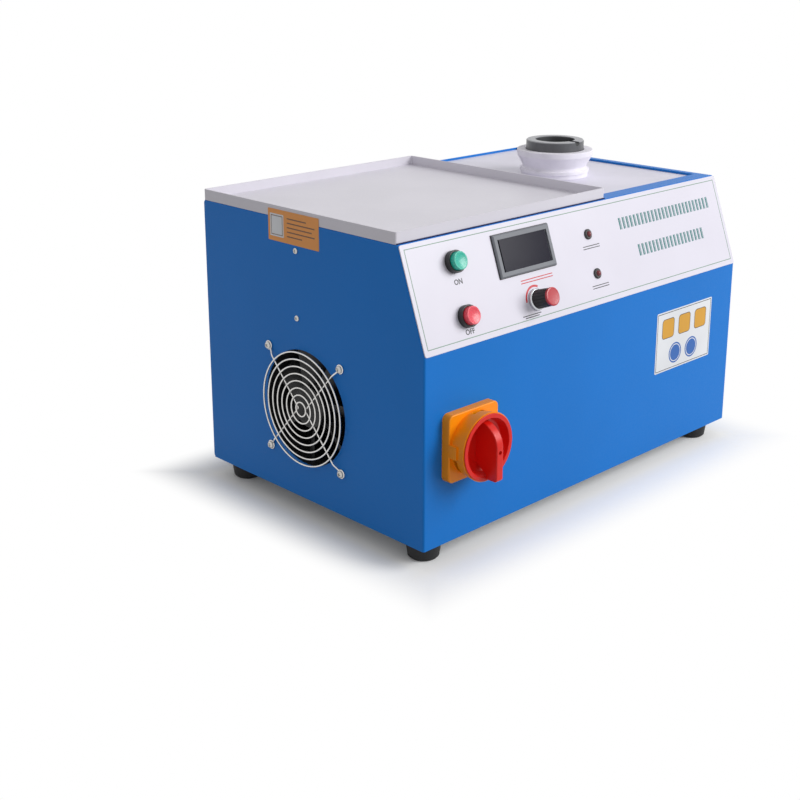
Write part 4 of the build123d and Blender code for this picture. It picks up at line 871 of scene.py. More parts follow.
@dataclass
class PanelPrint:
    """The printed film of the control slope."""

    film_top: float = 1.0
    ink: float = 0.06
    edge_rise: float = 0.02
    border_half: float = 240.0
    border_low: float = 6.0
    border_high: float = 96.5
    border_width: float = 0.8
    dial_radius: float = 12.2
    dial_width: float = 2.1
    dial_start: float = 62.0
    dial_end: float = 182.0
    trim_size: Point = (488.6, 100.0)
    trim_middle: float = 50.7
    trim_radius: float = 2.0
    trim_width: float = 2.0
    trim_inner_radius: float = 6.0
    start_spot: Point = (-185.0, 76.0)
    stop_spot: Point = (-185.0, 26.0)
    legends: tuple[tuple[str, Point], ...] = (("ON", (-184.0, 57.6)), ("OFF", (-184.0, 11.8)))
    legend_height: float = 4.8
    legend_weight: float = 0.16
    red_marks: tuple[Mark, ...] = (
        Mark((-81.0, 43.4), (46.0, 0.9)), Mark((-81.0, 40.8), (46.0, 0.9)),
    )
    black_marks: tuple[Mark, ...] = (
        Mark((-99.0, 10.4), (26.0, 0.9)), Mark((-99.0, 8.4), (20.0, 0.9)),
        Mark((8.5, 59.4), (26.0, 0.8)), Mark((8.5, 57.0), (26.0, 0.8)),
        Mark((9.0, 19.4), (26.0, 0.8)), Mark((9.0, 17.0), (26.0, 0.8)),
    )
    title_middle: float = 140.5
    title_rows: tuple[tuple[float, int], ...] = ((73.5, 26), (42.5, 19))  # up the slope, strokes
    title_height: float = 12.0
    title_pitch: float = 6.3
    title_strokes: Point = (2.1, 0.8)
    title_gap: float = 1.1

    def build(self) -> None:
        """Dress the film and print on it."""
        dress(PANEL_FILM, "control_panel")
        self.trim()
        self.border()
        self.lettering()
        self.marks("panel_marks_red", self.red_marks, INK_RED)
        self.marks("panel_marks_black", self.black_marks, INK_BLACK)
        self.dial()
        self.title()

    def line(self, size: Point) -> Mesh:
        """Return a printed bar of a size."""
        return slab(size, self.film_top, self.film_top + self.ink)

    def trim(self) -> None:
        """Carry the film out to the edges of the slope."""
        inner = (self.trim_size[0] - 2 * self.trim_width, self.trim_size[1] - 2 * self.trim_width)
        ring = prism(
            rounded(self.trim_size, self.trim_radius), 0.0, self.film_top + self.edge_rise,
            rounded(inner, self.trim_inner_radius),
        )
        Piece("panel_film_edge", LAYOUT.slope().at(0, self.trim_middle)).add(ring).done(
            PANEL_FILM, Body.HOUSING,
        )

    def border(self) -> None:
        """Print the thin frame line."""
        middle = (self.border_low + self.border_high) / 2
        outer = (2 * self.border_half, self.border_high - self.border_low)
        inner = (outer[0] - 2 * self.border_width, outer[1] - 2 * self.border_width)
        top = self.film_top + self.ink
        piece = Piece("panel_border", LAYOUT.slope().at(0, middle))
        piece.add(prism(rectangle(outer), self.film_top, top, rectangle(inner)))
        piece.done(INK_GREEN, Body.HOUSING)

    def lettering(self) -> None:
        """Print ON and OFF under the buttons."""
        slope = LAYOUT.slope()
        piece = Piece("button_legends", slope)
        for text, spot in self.legends:
            letters = words(
                text, self.legend_height, self.film_top, self.ink, self.legend_weight,
            )
            piece.add(letters, slope.at(*spot))
        piece.done(INK_BLACK, Body.HOUSING)

    def marks(self, name: str, marks: tuple[Mark, ...], finish: Finish) -> None:
        """Print plain bars.

        Args:
            name: the piece that gathers them.
            marks: the bars.
            finish: their ink.
        """
        slope = LAYOUT.slope()
        piece = Piece(name, slope)
        for mark in marks:
            piece.add(self.line(mark.size), slope.at(*mark.spot))
        piece.done(finish, Body.HOUSING)

    def dial(self) -> None:
        """Print the red sweep round the knob."""
        outer = self.dial_radius + self.dial_width
        sweep = arc((0, 0), outer, self.dial_start, self.dial_end, 36)
        sweep += arc((0, 0), self.dial_radius, self.dial_end, self.dial_start, 36)
        piece = Piece("dial_sweep", LAYOUT.slope().at(*LAYOUT.knob_spot))
        piece.add(prism(sweep, self.film_top, self.film_top + self.ink))
        piece.done(INK_RED, Body.HOUSING)

    def title(self) -> None:
        """Print two rows of thick and thin upright strokes where such a case has its title."""
        slope = LAYOUT.slope()
        piece = Piece("title_rows", slope)
        wide, narrow = self.title_strokes
        for height, count in self.title_rows:
            for index in range(count):
                x = self.title_middle + (index + 0.5 - count / 2) * self.title_pitch
                for width, shift in ((wide, -self.title_gap), (narrow, wide - self.title_gap)):
                    stroke = self.line((width, self.title_height))
                    piece.add(stroke, slope.at(x + shift, height))
        piece.done(INK_TEAL, Body.HOUSING)


@dataclass
class PushButton:
    """One push button: a black bezel and a coloured cap."""

    name: str
    body: Body
    spot: Point
    cap_finish: Finish
    seat: float = 1.0
    bezel_radius: float = 10.4
    bezel_height: float = 6.0
    bore_radius: float = 8.7
    barrel_radius: float = 9.6
    barrel_depth: float = 16.0
    cap_radius: float = 8.4
    cap_height: float = 10.8
    cap_skirt: float = 4.0
    stem_radius: float = 3.0
    stem_depth: float = 17.0
    rim: float = 1.5
    dish: float = 0.7
    bezel_edge: float = 0.5
    cap_edge: float = 0.6

    def build(self) -> None:
        """Build the bezel and the cap."""
        place = LAYOUT.slope().at(*self.spot)
        top = self.seat + self.bezel_height
        bezel = turned([
            (self.bore_radius, -self.barrel_depth), (self.barrel_radius, -self.barrel_depth),
            (self.barrel_radius, self.seat), (self.bezel_radius, self.seat),
            (self.bezel_radius, top), (self.bore_radius, top),
        ], closed=True)
        soften(bezel, self.bezel_edge, 3)
        Piece(f"{self.name}_button_bezel", place).add(bezel).done(
            MOULDED_BLACK, Body.HOUSING, f"{self.name}_bezel",
        )
        top = self.seat + self.cap_height
        cap = turned([
            (0, -self.stem_depth), (self.stem_radius, -self.stem_depth),
            (self.stem_radius, self.seat - self.cap_skirt),
            (self.cap_radius, self.seat - self.cap_skirt), (self.cap_radius, top),
            (self.cap_radius - self.rim, top), (self.cap_radius - 2 * self.rim, top - self.dish),
            (0, top - self.dish),
        ])
        soften(cap, self.cap_edge, 3)
        Piece(f"{self.name}_button_cap", place).add(cap).done(
            self.cap_finish, self.body, f"{self.name}_cap",
        )


@dataclass
class PowerKnob:
    """The fluted knob with its bright skirt and red cap."""

    seat: float = 1.0
    gap: float = 0.3
    height: float = 22.0
    skirt_radius: float = 10.5
    skirt_height: float = 3.0
    base_radius: float = 9.5
    top_radius: float = 8.6
    cap_radius: float = 8.9
    cap_thickness: float = 2.6
    flutes: int = 18
    flute_depth: float = 0.7
    flute_foot: float = 0.3
    flute_overrun: float = 0.1
    inner_radius: float = 3.0
    skirt_chamfer: float = 0.8
    neck_inset: float = 0.2
    neck_height: float = 0.6
    core_height: float = 1.0
    cap_rim: float = 1.3
    cap_field: float = 2.0
    cap_dish: float = 0.3
    skirt_edge: float = 0.3
    cap_edge: float = 0.2

    def build(self) -> None:
        """Build the skirt, the barrel and the cap."""
        place = LAYOUT.slope().at(*LAYOUT.knob_spot)
        foot = self.seat + self.gap
        top = self.seat + self.height
        skirt_top = foot + self.skirt_height
        cap_foot = top - self.cap_thickness
        skirt = turned([
            (self.inner_radius, foot), (self.skirt_radius, foot),
            (self.skirt_radius, skirt_top - self.skirt_chamfer), (self.base_radius, skirt_top),
            (self.inner_radius, skirt_top),
        ], closed=True)
        soften(skirt, self.skirt_edge, 2)
        Piece("knob_skirt", place).add(skirt).done(TURNED_ALUMINIUM, Body.POWER_KNOB)
        neck = self.base_radius - self.neck_inset
        core = skirt_top + self.core_height
        barrel = turned([
            (self.inner_radius, skirt_top), (neck, skirt_top),
            (neck, skirt_top + self.neck_height), (self.top_radius, cap_foot),
            (0, cap_foot), (0, core), (self.inner_radius, core),
        ], sides=self.flutes * 8)
        self.flute(barrel, skirt_top + self.flute_foot, cap_foot + self.flute_overrun)
        Piece("knob_barrel", place).add(barrel).done(
            MOULDED_BLACK, Body.POWER_KNOB, "power_knob", smooth=50,
        )
        low = top - self.cap_dish
        cap = turned([
            (0, cap_foot), (self.cap_radius, cap_foot), (self.cap_radius, low),
            (self.cap_radius - self.cap_rim, top), (self.cap_radius - self.cap_field, low),
            (0, low),
        ])
        soften(cap, self.cap_edge, 2)
        Piece("knob_cap", place).add(cap).done(
            KNOB_RED, Body.POWER_KNOB, "power_knob_cap",
        )
        dress(TURNED_ALUMINIUM, "pot_shaft", "pot_body", "control_nuts")

    def flute(self, barrel: Mesh, low: float, high: float) -> None:
        """Press the flutes into the barrel between two heights, clear of its core."""
        for vert in barrel.verts:
            if not low < vert.co.z < high or vert.co.xy.length < 2 * self.inner_radius:
                continue
            angle = vert.co.xy.angle_signed(Vector((1, 0)))
            wave = max(0.0, cos(angle * self.flutes))
            vert.co.xy *= 1 - wave * self.flute_depth / self.base_radius


@dataclass
class Display:
    """The digital display with its bevelled frame."""

    spot: Point = (-90.4, 70.5)
    seat: float = 1.0
    width: float = 80.0
    height: float = 41.0
    rise: float = 3.0
    bevel: float = 1.2
    edge: float = 0.25
    gasket: float = 0.6
    window: Point = (66.5, 31.5)
    window_depth: float = 1.6
    body: Point = (74.0, 36.0)
    body_depth: float = 24.0

    def build(self) -> None:
        """Build the frame round the screen."""
        place = LAYOUT.slope().at(*self.spot)
        top = self.seat + self.rise
        rim = slab((self.width, self.height), self.seat, top)
        upper = [
            edge for edge in rim.edges
            if all(vert.co.z > top - SAME_LEVEL for vert in edge.verts)
        ]
        bmesh.ops.bevel(
            rim, geom=upper, offset=self.bevel, offset_type="OFFSET", affect="EDGES",
            segments=1, profile=0.5, material=-1,
        )
        face = max(rim.faces, key=lambda one: one.calc_center_median().z)
        inset = (self.width - self.window[0]) / 2 - self.bevel
        bmesh.ops.inset_region(rim, faces=[face], thickness=inset, depth=0)
        sunk = bmesh.ops.extrude_discrete_faces(rim, faces=[face])["faces"]
        corners = [vert for one in sunk for vert in one.verts]
        bmesh.ops.translate(rim, verts=corners, vec=(0, 0, -self.window_depth))
        soften(rim, self.edge, 2)
        piece = Piece("display_frame", place).add(rim)
        piece.add(slab(self.body, self.seat - self.body_depth, self.seat))
        piece.done(BEZEL_GREY, Body.HOUSING, "display_bezel")
        size = (self.width + 2 * self.gasket, self.height + 2 * self.gasket)
        gasket = slab(size, self.seat, self.seat + self.gasket, self.gasket)
        Piece("display_gasket", place).add(gasket).done(MOULDED_BLACK, Body.HOUSING)
        dress(SCREEN_DARK, "display_screen")


@dataclass
class SignalLamps:
    """The two signal lamps beside the title."""

    spots: tuple[Point, ...] = ((7.0, 71.0), (7.5, 31.0))
    seat: float = 1.0
    holder_radius: float = 5.2
    holder_height: float = 1.8
    chamfer: Point = (0.9, 0.6)
    lens_radius: float = 3.0
    lens_height: float = 4.2
    body_radius: float = 3.4
    body_depth: float = 12.0

    def build(self) -> None:
        """Build the holders and the lenses."""
        slope = LAYOUT.slope()
        holders = Piece("lamp_sockets", slope)
        lenses = Piece("lamp_domes", slope)
        for spot in self.spots:
            top = self.seat + self.holder_height
            holder = turned([
                (0, -self.body_depth), (self.body_radius, -self.body_depth),
                (self.body_radius, self.seat), (self.holder_radius, self.seat),
                (self.holder_radius, top - self.chamfer[1]),
                (self.holder_radius - self.chamfer[0], top),
                (self.lens_radius, top), (self.lens_radius, self.seat), (0, self.seat),
            ], sides=40)
            holders.add(holder, slope.at(*spot))
            crown = self.seat + self.lens_height - self.lens_radius
            dome = [(0, self.seat), (self.lens_radius, self.seat)]
            dome += arc((0, crown), self.lens_radius, 0, 90, 8)
            dome[-1] = (0, crown + self.lens_radius)
            lenses.add(turned(dome, sides=32), slope.at(*spot))
        holders.done(MOULDED_BLACK, Body.HOUSING, "lamp_holders")
        lenses.done(LAMP_RED, Body.HOUSING, "lamp_lenses")


@dataclass
class Isolator:
    """The red and orange mains isolator on the front."""

    floor: float = 15.0
    wall: float = 2.0
    flat_radius: float = 16.1
    floor_radius: float = 26.8
    rim_radius: float = 29.4
    highlight_top_height: float = 25.5
    lip_radius: float = 31.6
    lip_low: float = 26.3
    lip_high: float = 27.4
    grip_width: float = 8.4
    grip_face: float = 41.0
    grip_end: float = 29.5
    grip_round: float = 22.0
    grip_crest: float = 2.0
    grip_chamfer: float = 2.0
    overlap: float = 0.3
    sunk: float = 1.0
    eye_radius: float = 2.0
    eye_spot: float = -1.5
    eye_depth: float = 5.0
    eye_taper: float = 0.8
    dish_edge: float = 0.45
    grip_edge: float = 0.9
    least_angle: float = 20.0

    def build(self) -> None:
        """Dress the plate and build the handle."""
        dress(SWITCH_ORANGE, "isolator_plate")
        dress(ZINC_STEEL, "isolator_shaft")
        dress(MOULDED_BLACK, "isolator_switch_body")
        place = LAYOUT.isolator()
        dish = turned([
            (0, self.floor - self.wall), (self.flat_radius, self.floor - self.wall),
            (self.floor_radius, self.floor + self.wall), (self.rim_radius, self.highlight_top_height),
            (self.rim_radius, self.lip_low), (self.lip_radius, self.lip_low),
            (self.lip_radius, self.lip_high), (self.rim_radius - self.wall, self.lip_high),
            (self.floor_radius - self.wall, self.floor + 2 * self.wall),
            (self.flat_radius, self.floor), (0, self.floor),
        ], sides=96)
        soften(dish, self.dish_edge, 3, self.least_angle)
        side = Place(place.origin, place.up, place.out)
        foot = self.lip_high - self.overlap
        root = self.floor - self.sunk
        outline = [
            (-self.grip_end, foot), (-self.grip_end, self.grip_face - self.grip_chamfer),
            (-self.grip_end + self.grip_chamfer, self.grip_face),
        ]
        middle = (self.grip_crest, self.grip_face - self.grip_round)
        outline += arc(middle, self.grip_round, 90, 0, 14)
        outline += [
            (self.flat_radius, root), (-self.flat_radius, root),
            (-self.floor_radius + self.wall, foot),
        ]
        grip = prism(outline, -self.grip_width / 2, self.grip_width / 2)
        soften(grip, self.grip_edge, 3)
        flat = [one for one in grip.faces if one.normal.y > FLAT]
        crest = max(flat, key=lambda one: one.calc_area())
        rim = list(crest.edges)
        level = crest.calc_center_median().y
        grip.faces.remove(crest)
        eye = [Vector((x, level, z)) for x, z in circle((self.eye_spot, 0), self.eye_radius, 20)]
        sink(grip, rim, eye, Vector((0, -self.eye_depth, 0)), self.eye_taper)
        piece = Piece("isolator_grip", place).add(dish).add(grip, side)
        piece.done(SWITCH_RED, Body.ISOLATOR, "isolator_handle")


@dataclass
class Fan:
    """The cooling fan in the left side, with its wire guard."""

    hole_pitch: float = 105.0
    rings: int = 8
    guard_radius: float = 57.0
    wire_radius: float = 0.85
    standoff: float = 5.2
    apex_gap: float = 5.0
    strut_drop: float = 1.6  # from the rings down to the struts, in wire radii
    strut_bend: float = 3.0
    eye_radius: float = 4.0
    nut_low: float = -8.2

    def corners(self) -> list[Point]:
        """Return the places of the four screws."""
        half = self.hole_pitch / 2
        return [(x * half, y * half) for x in (-1, 1) for y in (-1, 1)]

    def build(self) -> None:
        """Dress the fan and build the guard and the screws."""
        dress(FAN_BLACK, "fan_frame", "fan_impeller")
        place = LAYOUT.fan()
        guard = Piece("fan_guard_wires", place)
        for ring in range(self.rings):
            radius = self.guard_radius * (ring + 1) / self.rings
            section = circle((radius, self.standoff), self.wire_radius, 12)
            guard.add(turned(section, sides=96, closed=True))
        height = self.standoff - self.strut_drop * self.wire_radius
        reach = self.hole_pitch / 2 - self.eye_radius * sin(pi / 4)
        ramp = reach - self.standoff
        for side in (-1, 1):
            spots = [
                (side * reach, reach, self.wire_radius), (side * ramp, ramp, height),
                (side * self.apex_gap, 0, height), (side * ramp, -ramp, height),
                (side * reach, -reach, self.wire_radius),
            ]
            guard.add(wire([Vector(spot) for spot in spots], self.wire_radius, self.strut_bend))
        for x, y in self.corners():
            section = circle((self.eye_radius, self.wire_radius), self.wire_radius, 12)
            guard.add(turned(section, sides=32, closed=True), place.at(x, y))
        guard.done(GUARD_CHROME, Body.HOUSING, "fan_guard", smooth=60)
        Screws("fan_guard_screws", place, tuple(self.corners()), 2 * self.wire_radius).build(
            "fan_screws", nut_low=self.nut_low,
        )


@dataclass
class Screws:
    """A group of pan-head screws with cross recesses and nuts."""

    name: str
    place: Place
    spots: tuple[Point, ...]
    seat: float
    head_radius: float = 3.6
    head_height: float = 2.2
    shank_radius: float = 2.0
    nut_radius: float = 4.0
    nut_height: float = 3.0
    recess: float = 1.9
    recess_depth: float = 1.2
    recess_taper: float = 0.7
    recess_rim: float = 1.1  # where the dome ends round the recess, as a share of its reach
    slot_share: float = 0.3
    dome: tuple[Point, ...] = ((1.0, 0.45), (0.86, 0.8), (0.62, 1.0))  # shares of the head
    first_turn: float = 17.0
    turn_step: float = 31.0
    shank_overrun: float = 1.0

    def build(self, replaced: str, nut_low: float) -> None:
        """Build all the screws as one piece.

        Args:
            replaced: the CAD node that they stand for.
            nut_low: lower face of the nuts, from the face of the case.
        """
        piece = Piece(self.name, self.place)
        for index, spot in enumerate(self.spots):
            piece.add(self.head(index), self.place.at(*spot, self.seat))
            end = nut_low - self.shank_overrun - self.seat
            shank = prism(circle((0, 0), self.shank_radius, 16), end, 0.0)
            piece.add(shank, self.place.at(*spot, self.seat))
            outline = circle((0, 0), self.nut_radius / cos(pi / 6), 6)
            nut = prism(outline, nut_low, nut_low + self.nut_height)
            piece.add(nut, self.place.at(*spot))
        piece.done(ZINC_STEEL, Body.HOUSING, replaced)

    def head(self, index: int) -> Mesh:
        """Return a domed head with a cross recess, turned a little differently each time."""
        crown = self.head_height
        outline = [(0, 0), (self.head_radius, 0)]
        outline += [(self.head_radius * across, crown * up) for across, up in self.dome]
        mesh = turned(outline + [(self.recess * self.recess_rim, crown)], sides=24)
        rim = [edge for edge in mesh.edges if edge.is_boundary]
        twist = radians(self.first_turn + self.turn_step * index)
        narrow = self.recess * self.slot_share
        corners = [(narrow, narrow), (narrow, self.recess), (-narrow, self.recess)]
        mouth = []
        for _ in QUARTERS:
            mouth += [Vector((x, y, crown)) for x, y in corners]
            corners = [(-y, x) for x, y in corners]
        sink(mesh, rim, mouth, Vector((0, 0, -self.recess_depth)), self.recess_taper)
        bmesh.ops.rotate(mesh, verts=mesh.verts, matrix=Matrix.Rotation(twist, 3, "Z"))
        return mesh


@dataclass
class SupplyScrews:
    """The two small screws above the fan, which hold a bracket inside."""

    node: str = "supply_screws"
    head_radius: float = 2.9
    head_height: float = 1.6
    shank_radius: float = 1.5
    nut_radius: float = 2.8
    nut_height: float = 2.4
    recess: float = 1.5
    recess_depth: float = 1.0

    def build(self) -> None:
        """Build the screws where the node has them."""
        low, high = low_corner(self.node), high_corner(self.node)
        inset = (high.y - low.y) / 2
        middle = -(low.y + high.y) / 2
        spots = ((middle, high.z - inset), (middle, low.z + inset))
        screws = Screws(
            "supply_bracket_screws", LAYOUT.left(), spots, 0.0, self.head_radius,
            self.head_height, self.shank_radius, self.nut_radius, self.nut_height, self.recess,
            self.recess_depth,
        )
        screws.build(self.node, nut_low=LAYOUT.left().origin.x - high.x)


@dataclass
class MeltingWell:
    """The graphite crucible in its white collar."""

    case_top: float = field(default_factory=lambda: high_corner("body_wrap").z)
    deck_top: float = field(default_factory=lambda: high_corner("deck_plate").z)
    bore: float = 32.4
    foot_radius: float = 37.2
    lip_rise: float = 2.5
    ring_radius: float = 38.5
    ring_rise: float = 6.5
    neck_radius: float = 35.5
    neck_rise: float = 9.5
    flange_radius: float = 42.0
    flange_foot: float = 21.5
    flange_rise: float = 27.5
    edge: float = 0.9
    least_angle: float = 20.0

    def build(self) -> None:
        """Dress the crucible and build the collar."""
        dress(GRAPHITE, "graphite_crucible")
        dress(REFRACTORY, "well_base", "crucible_liner")
        dress(FIBRE_BLANKET, "coil_sleeve")
        top = self.case_top
        collar = turned([
            (self.bore, self.deck_top), (self.foot_radius, self.deck_top),
            (self.foot_radius, top + self.lip_rise), (self.ring_radius, top + self.lip_rise),
            (self.ring_radius, top + self.ring_rise), (self.neck_radius, top + self.ring_rise),
            (self.neck_radius, top + self.neck_rise),
            (self.flange_radius, top + self.flange_foot),
            (self.flange_radius, top + self.flange_rise), (self.bore, top + self.flange_rise),
        ], sides=120, closed=True)
        soften(collar, self.edge, 4, self.least_angle)
        Piece("well_collar", LAYOUT.well()).add(collar).done(
            COLLAR_CERAMIC, Body.HOUSING, "furnace_collar",
        )


@dataclass
class Labels:
    """Two plain labels: an orange one on the left side and a white one on the front."""

    film: float = 0.15
    ink: float = 0.04
    orange_middle: Point = (-17.0, 291.0)
    orange_size: Point = (74.0, 31.0)
    field_middle: Point = (-24.0, 0.0)
    field_size: Point = (20.0, 22.0)
    bar_left: float = -9.0
    bar_top: float = 8.6
    bar_pitch: float = 4.3
    bar_height: float = 1.1
    bar_widths: tuple[float, ...] = (28.0, 40.0, 36.0, 40.0, 22.0)
    white_middle: Point = (153.4, 139.5)
    white_size: Point = (102.2, 67.0)
    outline: float = 0.7
    margin: float = 1.5
    orange_corner: float = 1.0
    white_corner: float = 1.5
    tile: float = 22.0
    tile_corner: float = 4.0
    face_corner: float = 3.4
    tile_pitch: float = 30.0
    upper_row: float = 14.0
    lower_row: float = -16.0
    disc_radius: float = 11.5
    ring_radius: float = 9.9
    core_radius: float = 8.9

    def build(self) -> None:
        """Build both labels."""
        self.side_label()
        self.front_label()

    def lift(self, layer: int) -> Point:
        """Return the lower and upper face of a printed layer."""
        return (self.film + (layer - 1) * self.ink, self.film + layer * self.ink)

    def frame_line(self, size: Point, layer: int) -> Mesh:
        """Return a thin frame just inside a size."""
        inner = (size[0] - 2 * self.outline, size[1] - 2 * self.outline)
        return prism(rectangle(size), *self.lift(layer), rectangle(inner))

    def within(self, size: Point) -> Point:
        """Return a size less the margin on each side."""
        return (size[0] - 2 * self.margin, size[1] - 2 * self.margin)

    def side_label(self) -> None:
        """Build the orange label with its pale field and its bars."""
        left = LAYOUT.left().at(*self.orange_middle)
        sheet = slab(self.orange_size, 0, self.film, self.orange_corner, 4)
        Piece("side_label", left).add(sheet).done(LABEL_ORANGE, Body.HOUSING)
        spot = left.at(*self.field_middle)
        Piece("side_label_field", left).add(slab(self.field_size, *self.lift(1)), spot).done(
            LABEL_WHITE, Body.HOUSING,
        )
        inks = Piece("side_label_bars", left)
        inks.add(self.frame_line(self.within(self.field_size), 2), spot)
        for row, width in enumerate(self.bar_widths):
            bar = slab((width, self.bar_height), *self.lift(1))
            inks.add(bar, left.at(self.bar_left + width / 2, self.bar_top - self.bar_pitch * row))
        inks.done(INK_BROWN, Body.HOUSING)

    def front_label(self) -> None:
        """Build the white label with plain tiles and discs."""
        front = LAYOUT.front().at(*self.white_middle)
        sheet = slab(self.white_size, 0, self.film, self.white_corner, 4)
        Piece("front_label", front).add(sheet).done(LABEL_WHITE, Body.HOUSING)
        dark = Piece("front_label_outlines", front)
        amber = Piece("front_label_amber", front)
        blue = Piece("front_label_blue", front)
        pale = Piece("front_label_rings", front)
        dark.add(self.frame_line(self.within(self.white_size), 1))
        face = self.tile - 2 * self.outline
        for column in (-1, 0, 1):
            spot = front.at(self.tile_pitch * column, self.upper_row)
            dark.add(slab((self.tile, self.tile), *self.lift(1), self.tile_corner, 5), spot)
            amber.add(slab((face, face), *self.lift(2), self.face_corner, 5), spot)
        for side in (-0.5, 0.5):
            spot = front.at(self.tile_pitch * side, self.lower_row)
            for piece, radius, layer in (
                (blue, self.disc_radius, 1), (pale, self.ring_radius, 2),
                (blue, self.core_radius, 3),
            ):
                piece.add(prism(circle((0, 0), radius, 48), *self.lift(layer)), spot)
        dark.done(INK_BLACK, Body.HOUSING)
        amber.done(INK_AMBER, Body.HOUSING)
        blue.done(INK_BLUE, Body.HOUSING)
        pale.done(LABEL_WHITE, Body.HOUSING)


@dataclass
class Fittings:
    """Feet, back fittings and everything inside the case, which keep their CAD shapes."""

    def build(self) -> None:
        """Dress the nodes by finish."""
        corners = ("front_left", "front_right", "back_left", "back_right")
        dress(FOOT_RUBBER, *(f"foot_{corner}" for corner in corners))
        dress(ZINC_STEEL, "foot_screws", "back_screws", "earth_stud")
        dress(BRASS, "water_inlet", "water_outlet", "coil_terminals")
        dress(MOULDED_BLACK, "cable_gland", "start_contact_block", "stop_contact_block",
              "terminal_block", "flow_switch", "igbt_modules")
        dress(HOSE_RUBBER, "inlet_hose", "outlet_hose")
        dress(COPPER, "induction_coil")
        dress(FERRITE, "output_transformer")
        dress(TURNED_ALUMINIUM, "heatsink", "power_supply")
        dress(BOARD_GREEN, "control_board", "power_board")
        dress(CAPACITOR_SLEEVE, "capacitor_bank")


# ---------------------------------------------------------------- studio


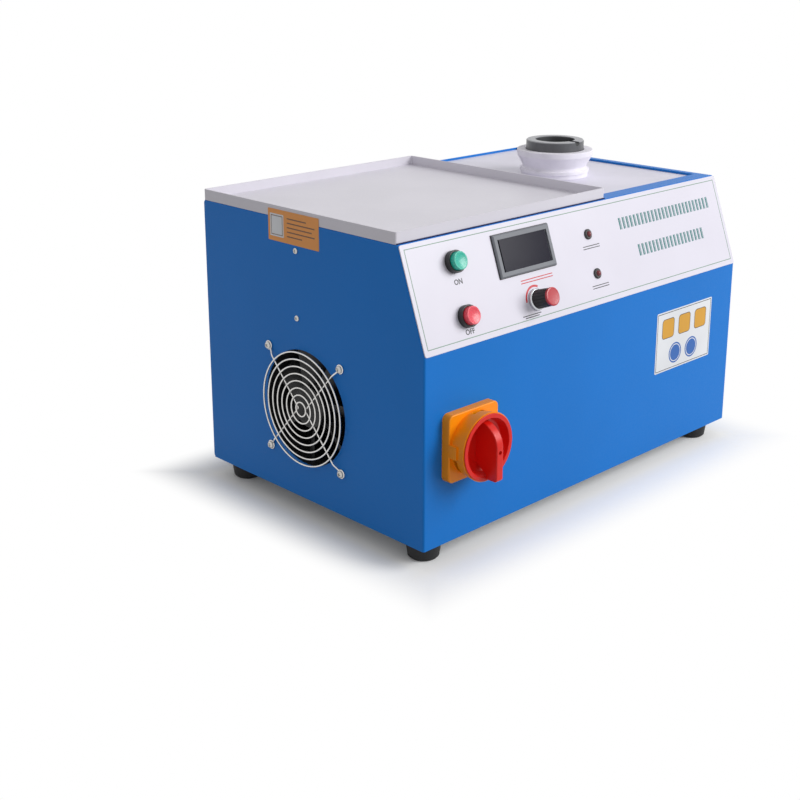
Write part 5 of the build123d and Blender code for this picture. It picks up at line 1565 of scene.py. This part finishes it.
@dataclass
class Studio:
    """Floor, world, key light and camera."""

    camera_place: Point = (-1.004, -0.908)
    camera_height: float = 0.557
    azimuth: float = -44.18
    elevation: float = 15.70
    lens_mm: float = 58.5
    sensor_mm: float = 36.0
    shift_up: float = -0.125
    near: float = 0.05
    key_place: tuple[float, float, float] = (1.40, -2.25, 1.60)
    key_aim: tuple[float, float, float] = (0.0, 0.0, 0.15)
    key_size: float = 1.6
    key_watts: float = 66.0
    floor_radius: float = 6.0
    paper_roughness: float = 0.9
    paper_gloss: float = 0.1
    paper_seen: float = 1.0
    paper_bounce: float = 0.35
    shadow_half: Point = (0.245, 0.165)
    shadow_fade: float = 0.065
    world_strength: float = 0.52

    def build(self) -> None:
        """Build the floor, the world, the light and the camera."""
        self.floor()
        self.world()
        self.key_light()
        self.camera()

    def floor(self) -> None:
        """Make the pale floor, white to the camera beyond the shadow of the furnace."""
        mesh = bmesh.new()
        bmesh.ops.create_circle(mesh, cap_ends=True, radius=self.floor_radius, segments=96)
        data = bpy.data.meshes.new("floor")
        mesh.to_mesh(data)
        mesh.free()
        material = bpy.data.materials.new("floor paper")
        material.use_nodes = True
        link = Link(material.node_tree)
        material.node_tree.nodes.clear()
        output = link.add("ShaderNodeOutputMaterial")
        paper = link.add("ShaderNodeBsdfPrincipled")
        paper.inputs["Roughness"].default_value = self.paper_roughness
        paper.inputs["Specular IOR Level"].default_value = self.paper_gloss
        white = link.add("ShaderNodeEmission")
        white.inputs["Strength"].default_value = 1.0
        seen = self.seen(link)
        shade = link.between(seen, (self.paper_bounce,) * 3, (self.paper_seen,) * 3)
        link.join(shade, paper.inputs["Base Color"])
        mix = link.add("ShaderNodeMixShader")
        link.join(link.math("MULTIPLY", self.beyond_shadow(link), seen), mix.inputs["Fac"])
        link.join(paper.outputs["BSDF"], mix.inputs[1])
        link.join(white.outputs["Emission"], mix.inputs[2])
        link.join(mix.outputs["Shader"], output.inputs["Surface"])
        data.materials.append(material)
        floor = bpy.data.objects.new("floor", data)
        bpy.context.scene.collection.objects.link(floor)

    def seen(self, link: Link) -> Socket:
        """Return 1 for rays that the camera sees, also by reflection or through glass."""
        path = link.add("ShaderNodeLightPath")
        seen = link.math("MAXIMUM", path.outputs["Is Camera Ray"], path.outputs["Is Glossy Ray"])
        return link.math("MAXIMUM", seen, path.outputs["Is Transmission Ray"])

    def beyond_shadow(self, link: Link) -> Socket:
        """Return a mask that is 0 under the furnace and 1 beyond its shadow."""
        place = link.add("ShaderNodeTexCoord")
        parts = link.add("ShaderNodeSeparateXYZ")
        link.join(place.outputs["Object"], parts.inputs["Vector"])
        beyond = [
            link.math("SUBTRACT", link.math("ABSOLUTE", parts.outputs[axis]), half)
            for axis, half in zip(("X", "Y"), self.shadow_half)
        ]
        return link.spread(link.math("MAXIMUM", *beyond), 0.0, self.shadow_fade, 0.0, 1.0)

    def world(self) -> None:
        """Light the scene evenly, and show plain white to the camera."""
        world = bpy.data.worlds.new("studio")
        bpy.context.scene.world = world
        world.use_nodes = True
        world.node_tree.nodes.clear()
        link = Link(world.node_tree)
        output = link.add("ShaderNodeOutputWorld")
        light = link.add("ShaderNodeBackground")
        light.inputs["Strength"].default_value = self.world_strength
        white = link.add("ShaderNodeBackground")
        white.inputs["Strength"].default_value = 1.0
        for ground in (light, white):
            ground.inputs["Color"].default_value = (1, 1, 1, 1)
        mix = link.add("ShaderNodeMixShader")
        link.join(self.seen(link), mix.inputs["Fac"])
        link.join(light.outputs["Background"], mix.inputs[1])
        link.join(white.outputs["Background"], mix.inputs[2])
        link.join(mix.outputs["Shader"], output.inputs["Surface"])

    def key_light(self) -> None:
        """Add the one soft square light, in front of the furnace and to its right."""
        data = bpy.data.lights.new("key light", "AREA")
        data.size = self.key_size
        data.energy = self.key_watts
        lamp = bpy.data.objects.new("key light", data)
        lamp.location = self.key_place
        direction = Vector(self.key_aim) - Vector(self.key_place)
        lamp.rotation_euler = direction.to_track_quat("-Z", "Y").to_euler()
        bpy.context.scene.collection.objects.link(lamp)

    def camera(self) -> None:
        """Stand the camera where the photograph was taken."""
        data = bpy.data.cameras.new("camera")
        data.lens = self.lens_mm
        data.sensor_width = self.sensor_mm
        data.shift_y = self.shift_up
        data.clip_start = self.near
        camera = bpy.data.objects.new("camera", data)
        camera.location = (*self.camera_place, self.camera_height)
        camera.rotation_euler = (radians(90 - self.elevation), 0, radians(self.azimuth))
        bpy.context.scene.collection.objects.link(camera)
        bpy.context.scene.camera = camera
        view = bpy.context.scene.view_settings
        view.view_transform = "Standard"


def main() -> None:
    """Build every sub-assembly in order."""
    logging.basicConfig(level=logging.INFO, format="%(message)s")
    assemblies = [
        Sheetwork(),
        PanelPrint(),
        PushButton("start", Body.START, PanelPrint.start_spot, CAP_GREEN),
        PushButton("stop", Body.STOP, PanelPrint.stop_spot, CAP_RED),
        PowerKnob(),
        Display(),
        SignalLamps(),
        Isolator(),
        Fan(),
        SupplyScrews(),
        MeltingWell(),
        Labels(),
        Fittings(),
        Studio(),
    ]
    for assembly in assemblies:
        log.info("building %s", type(assembly).__name__)
        assembly.build()


if __name__ == "__main__":
    main()
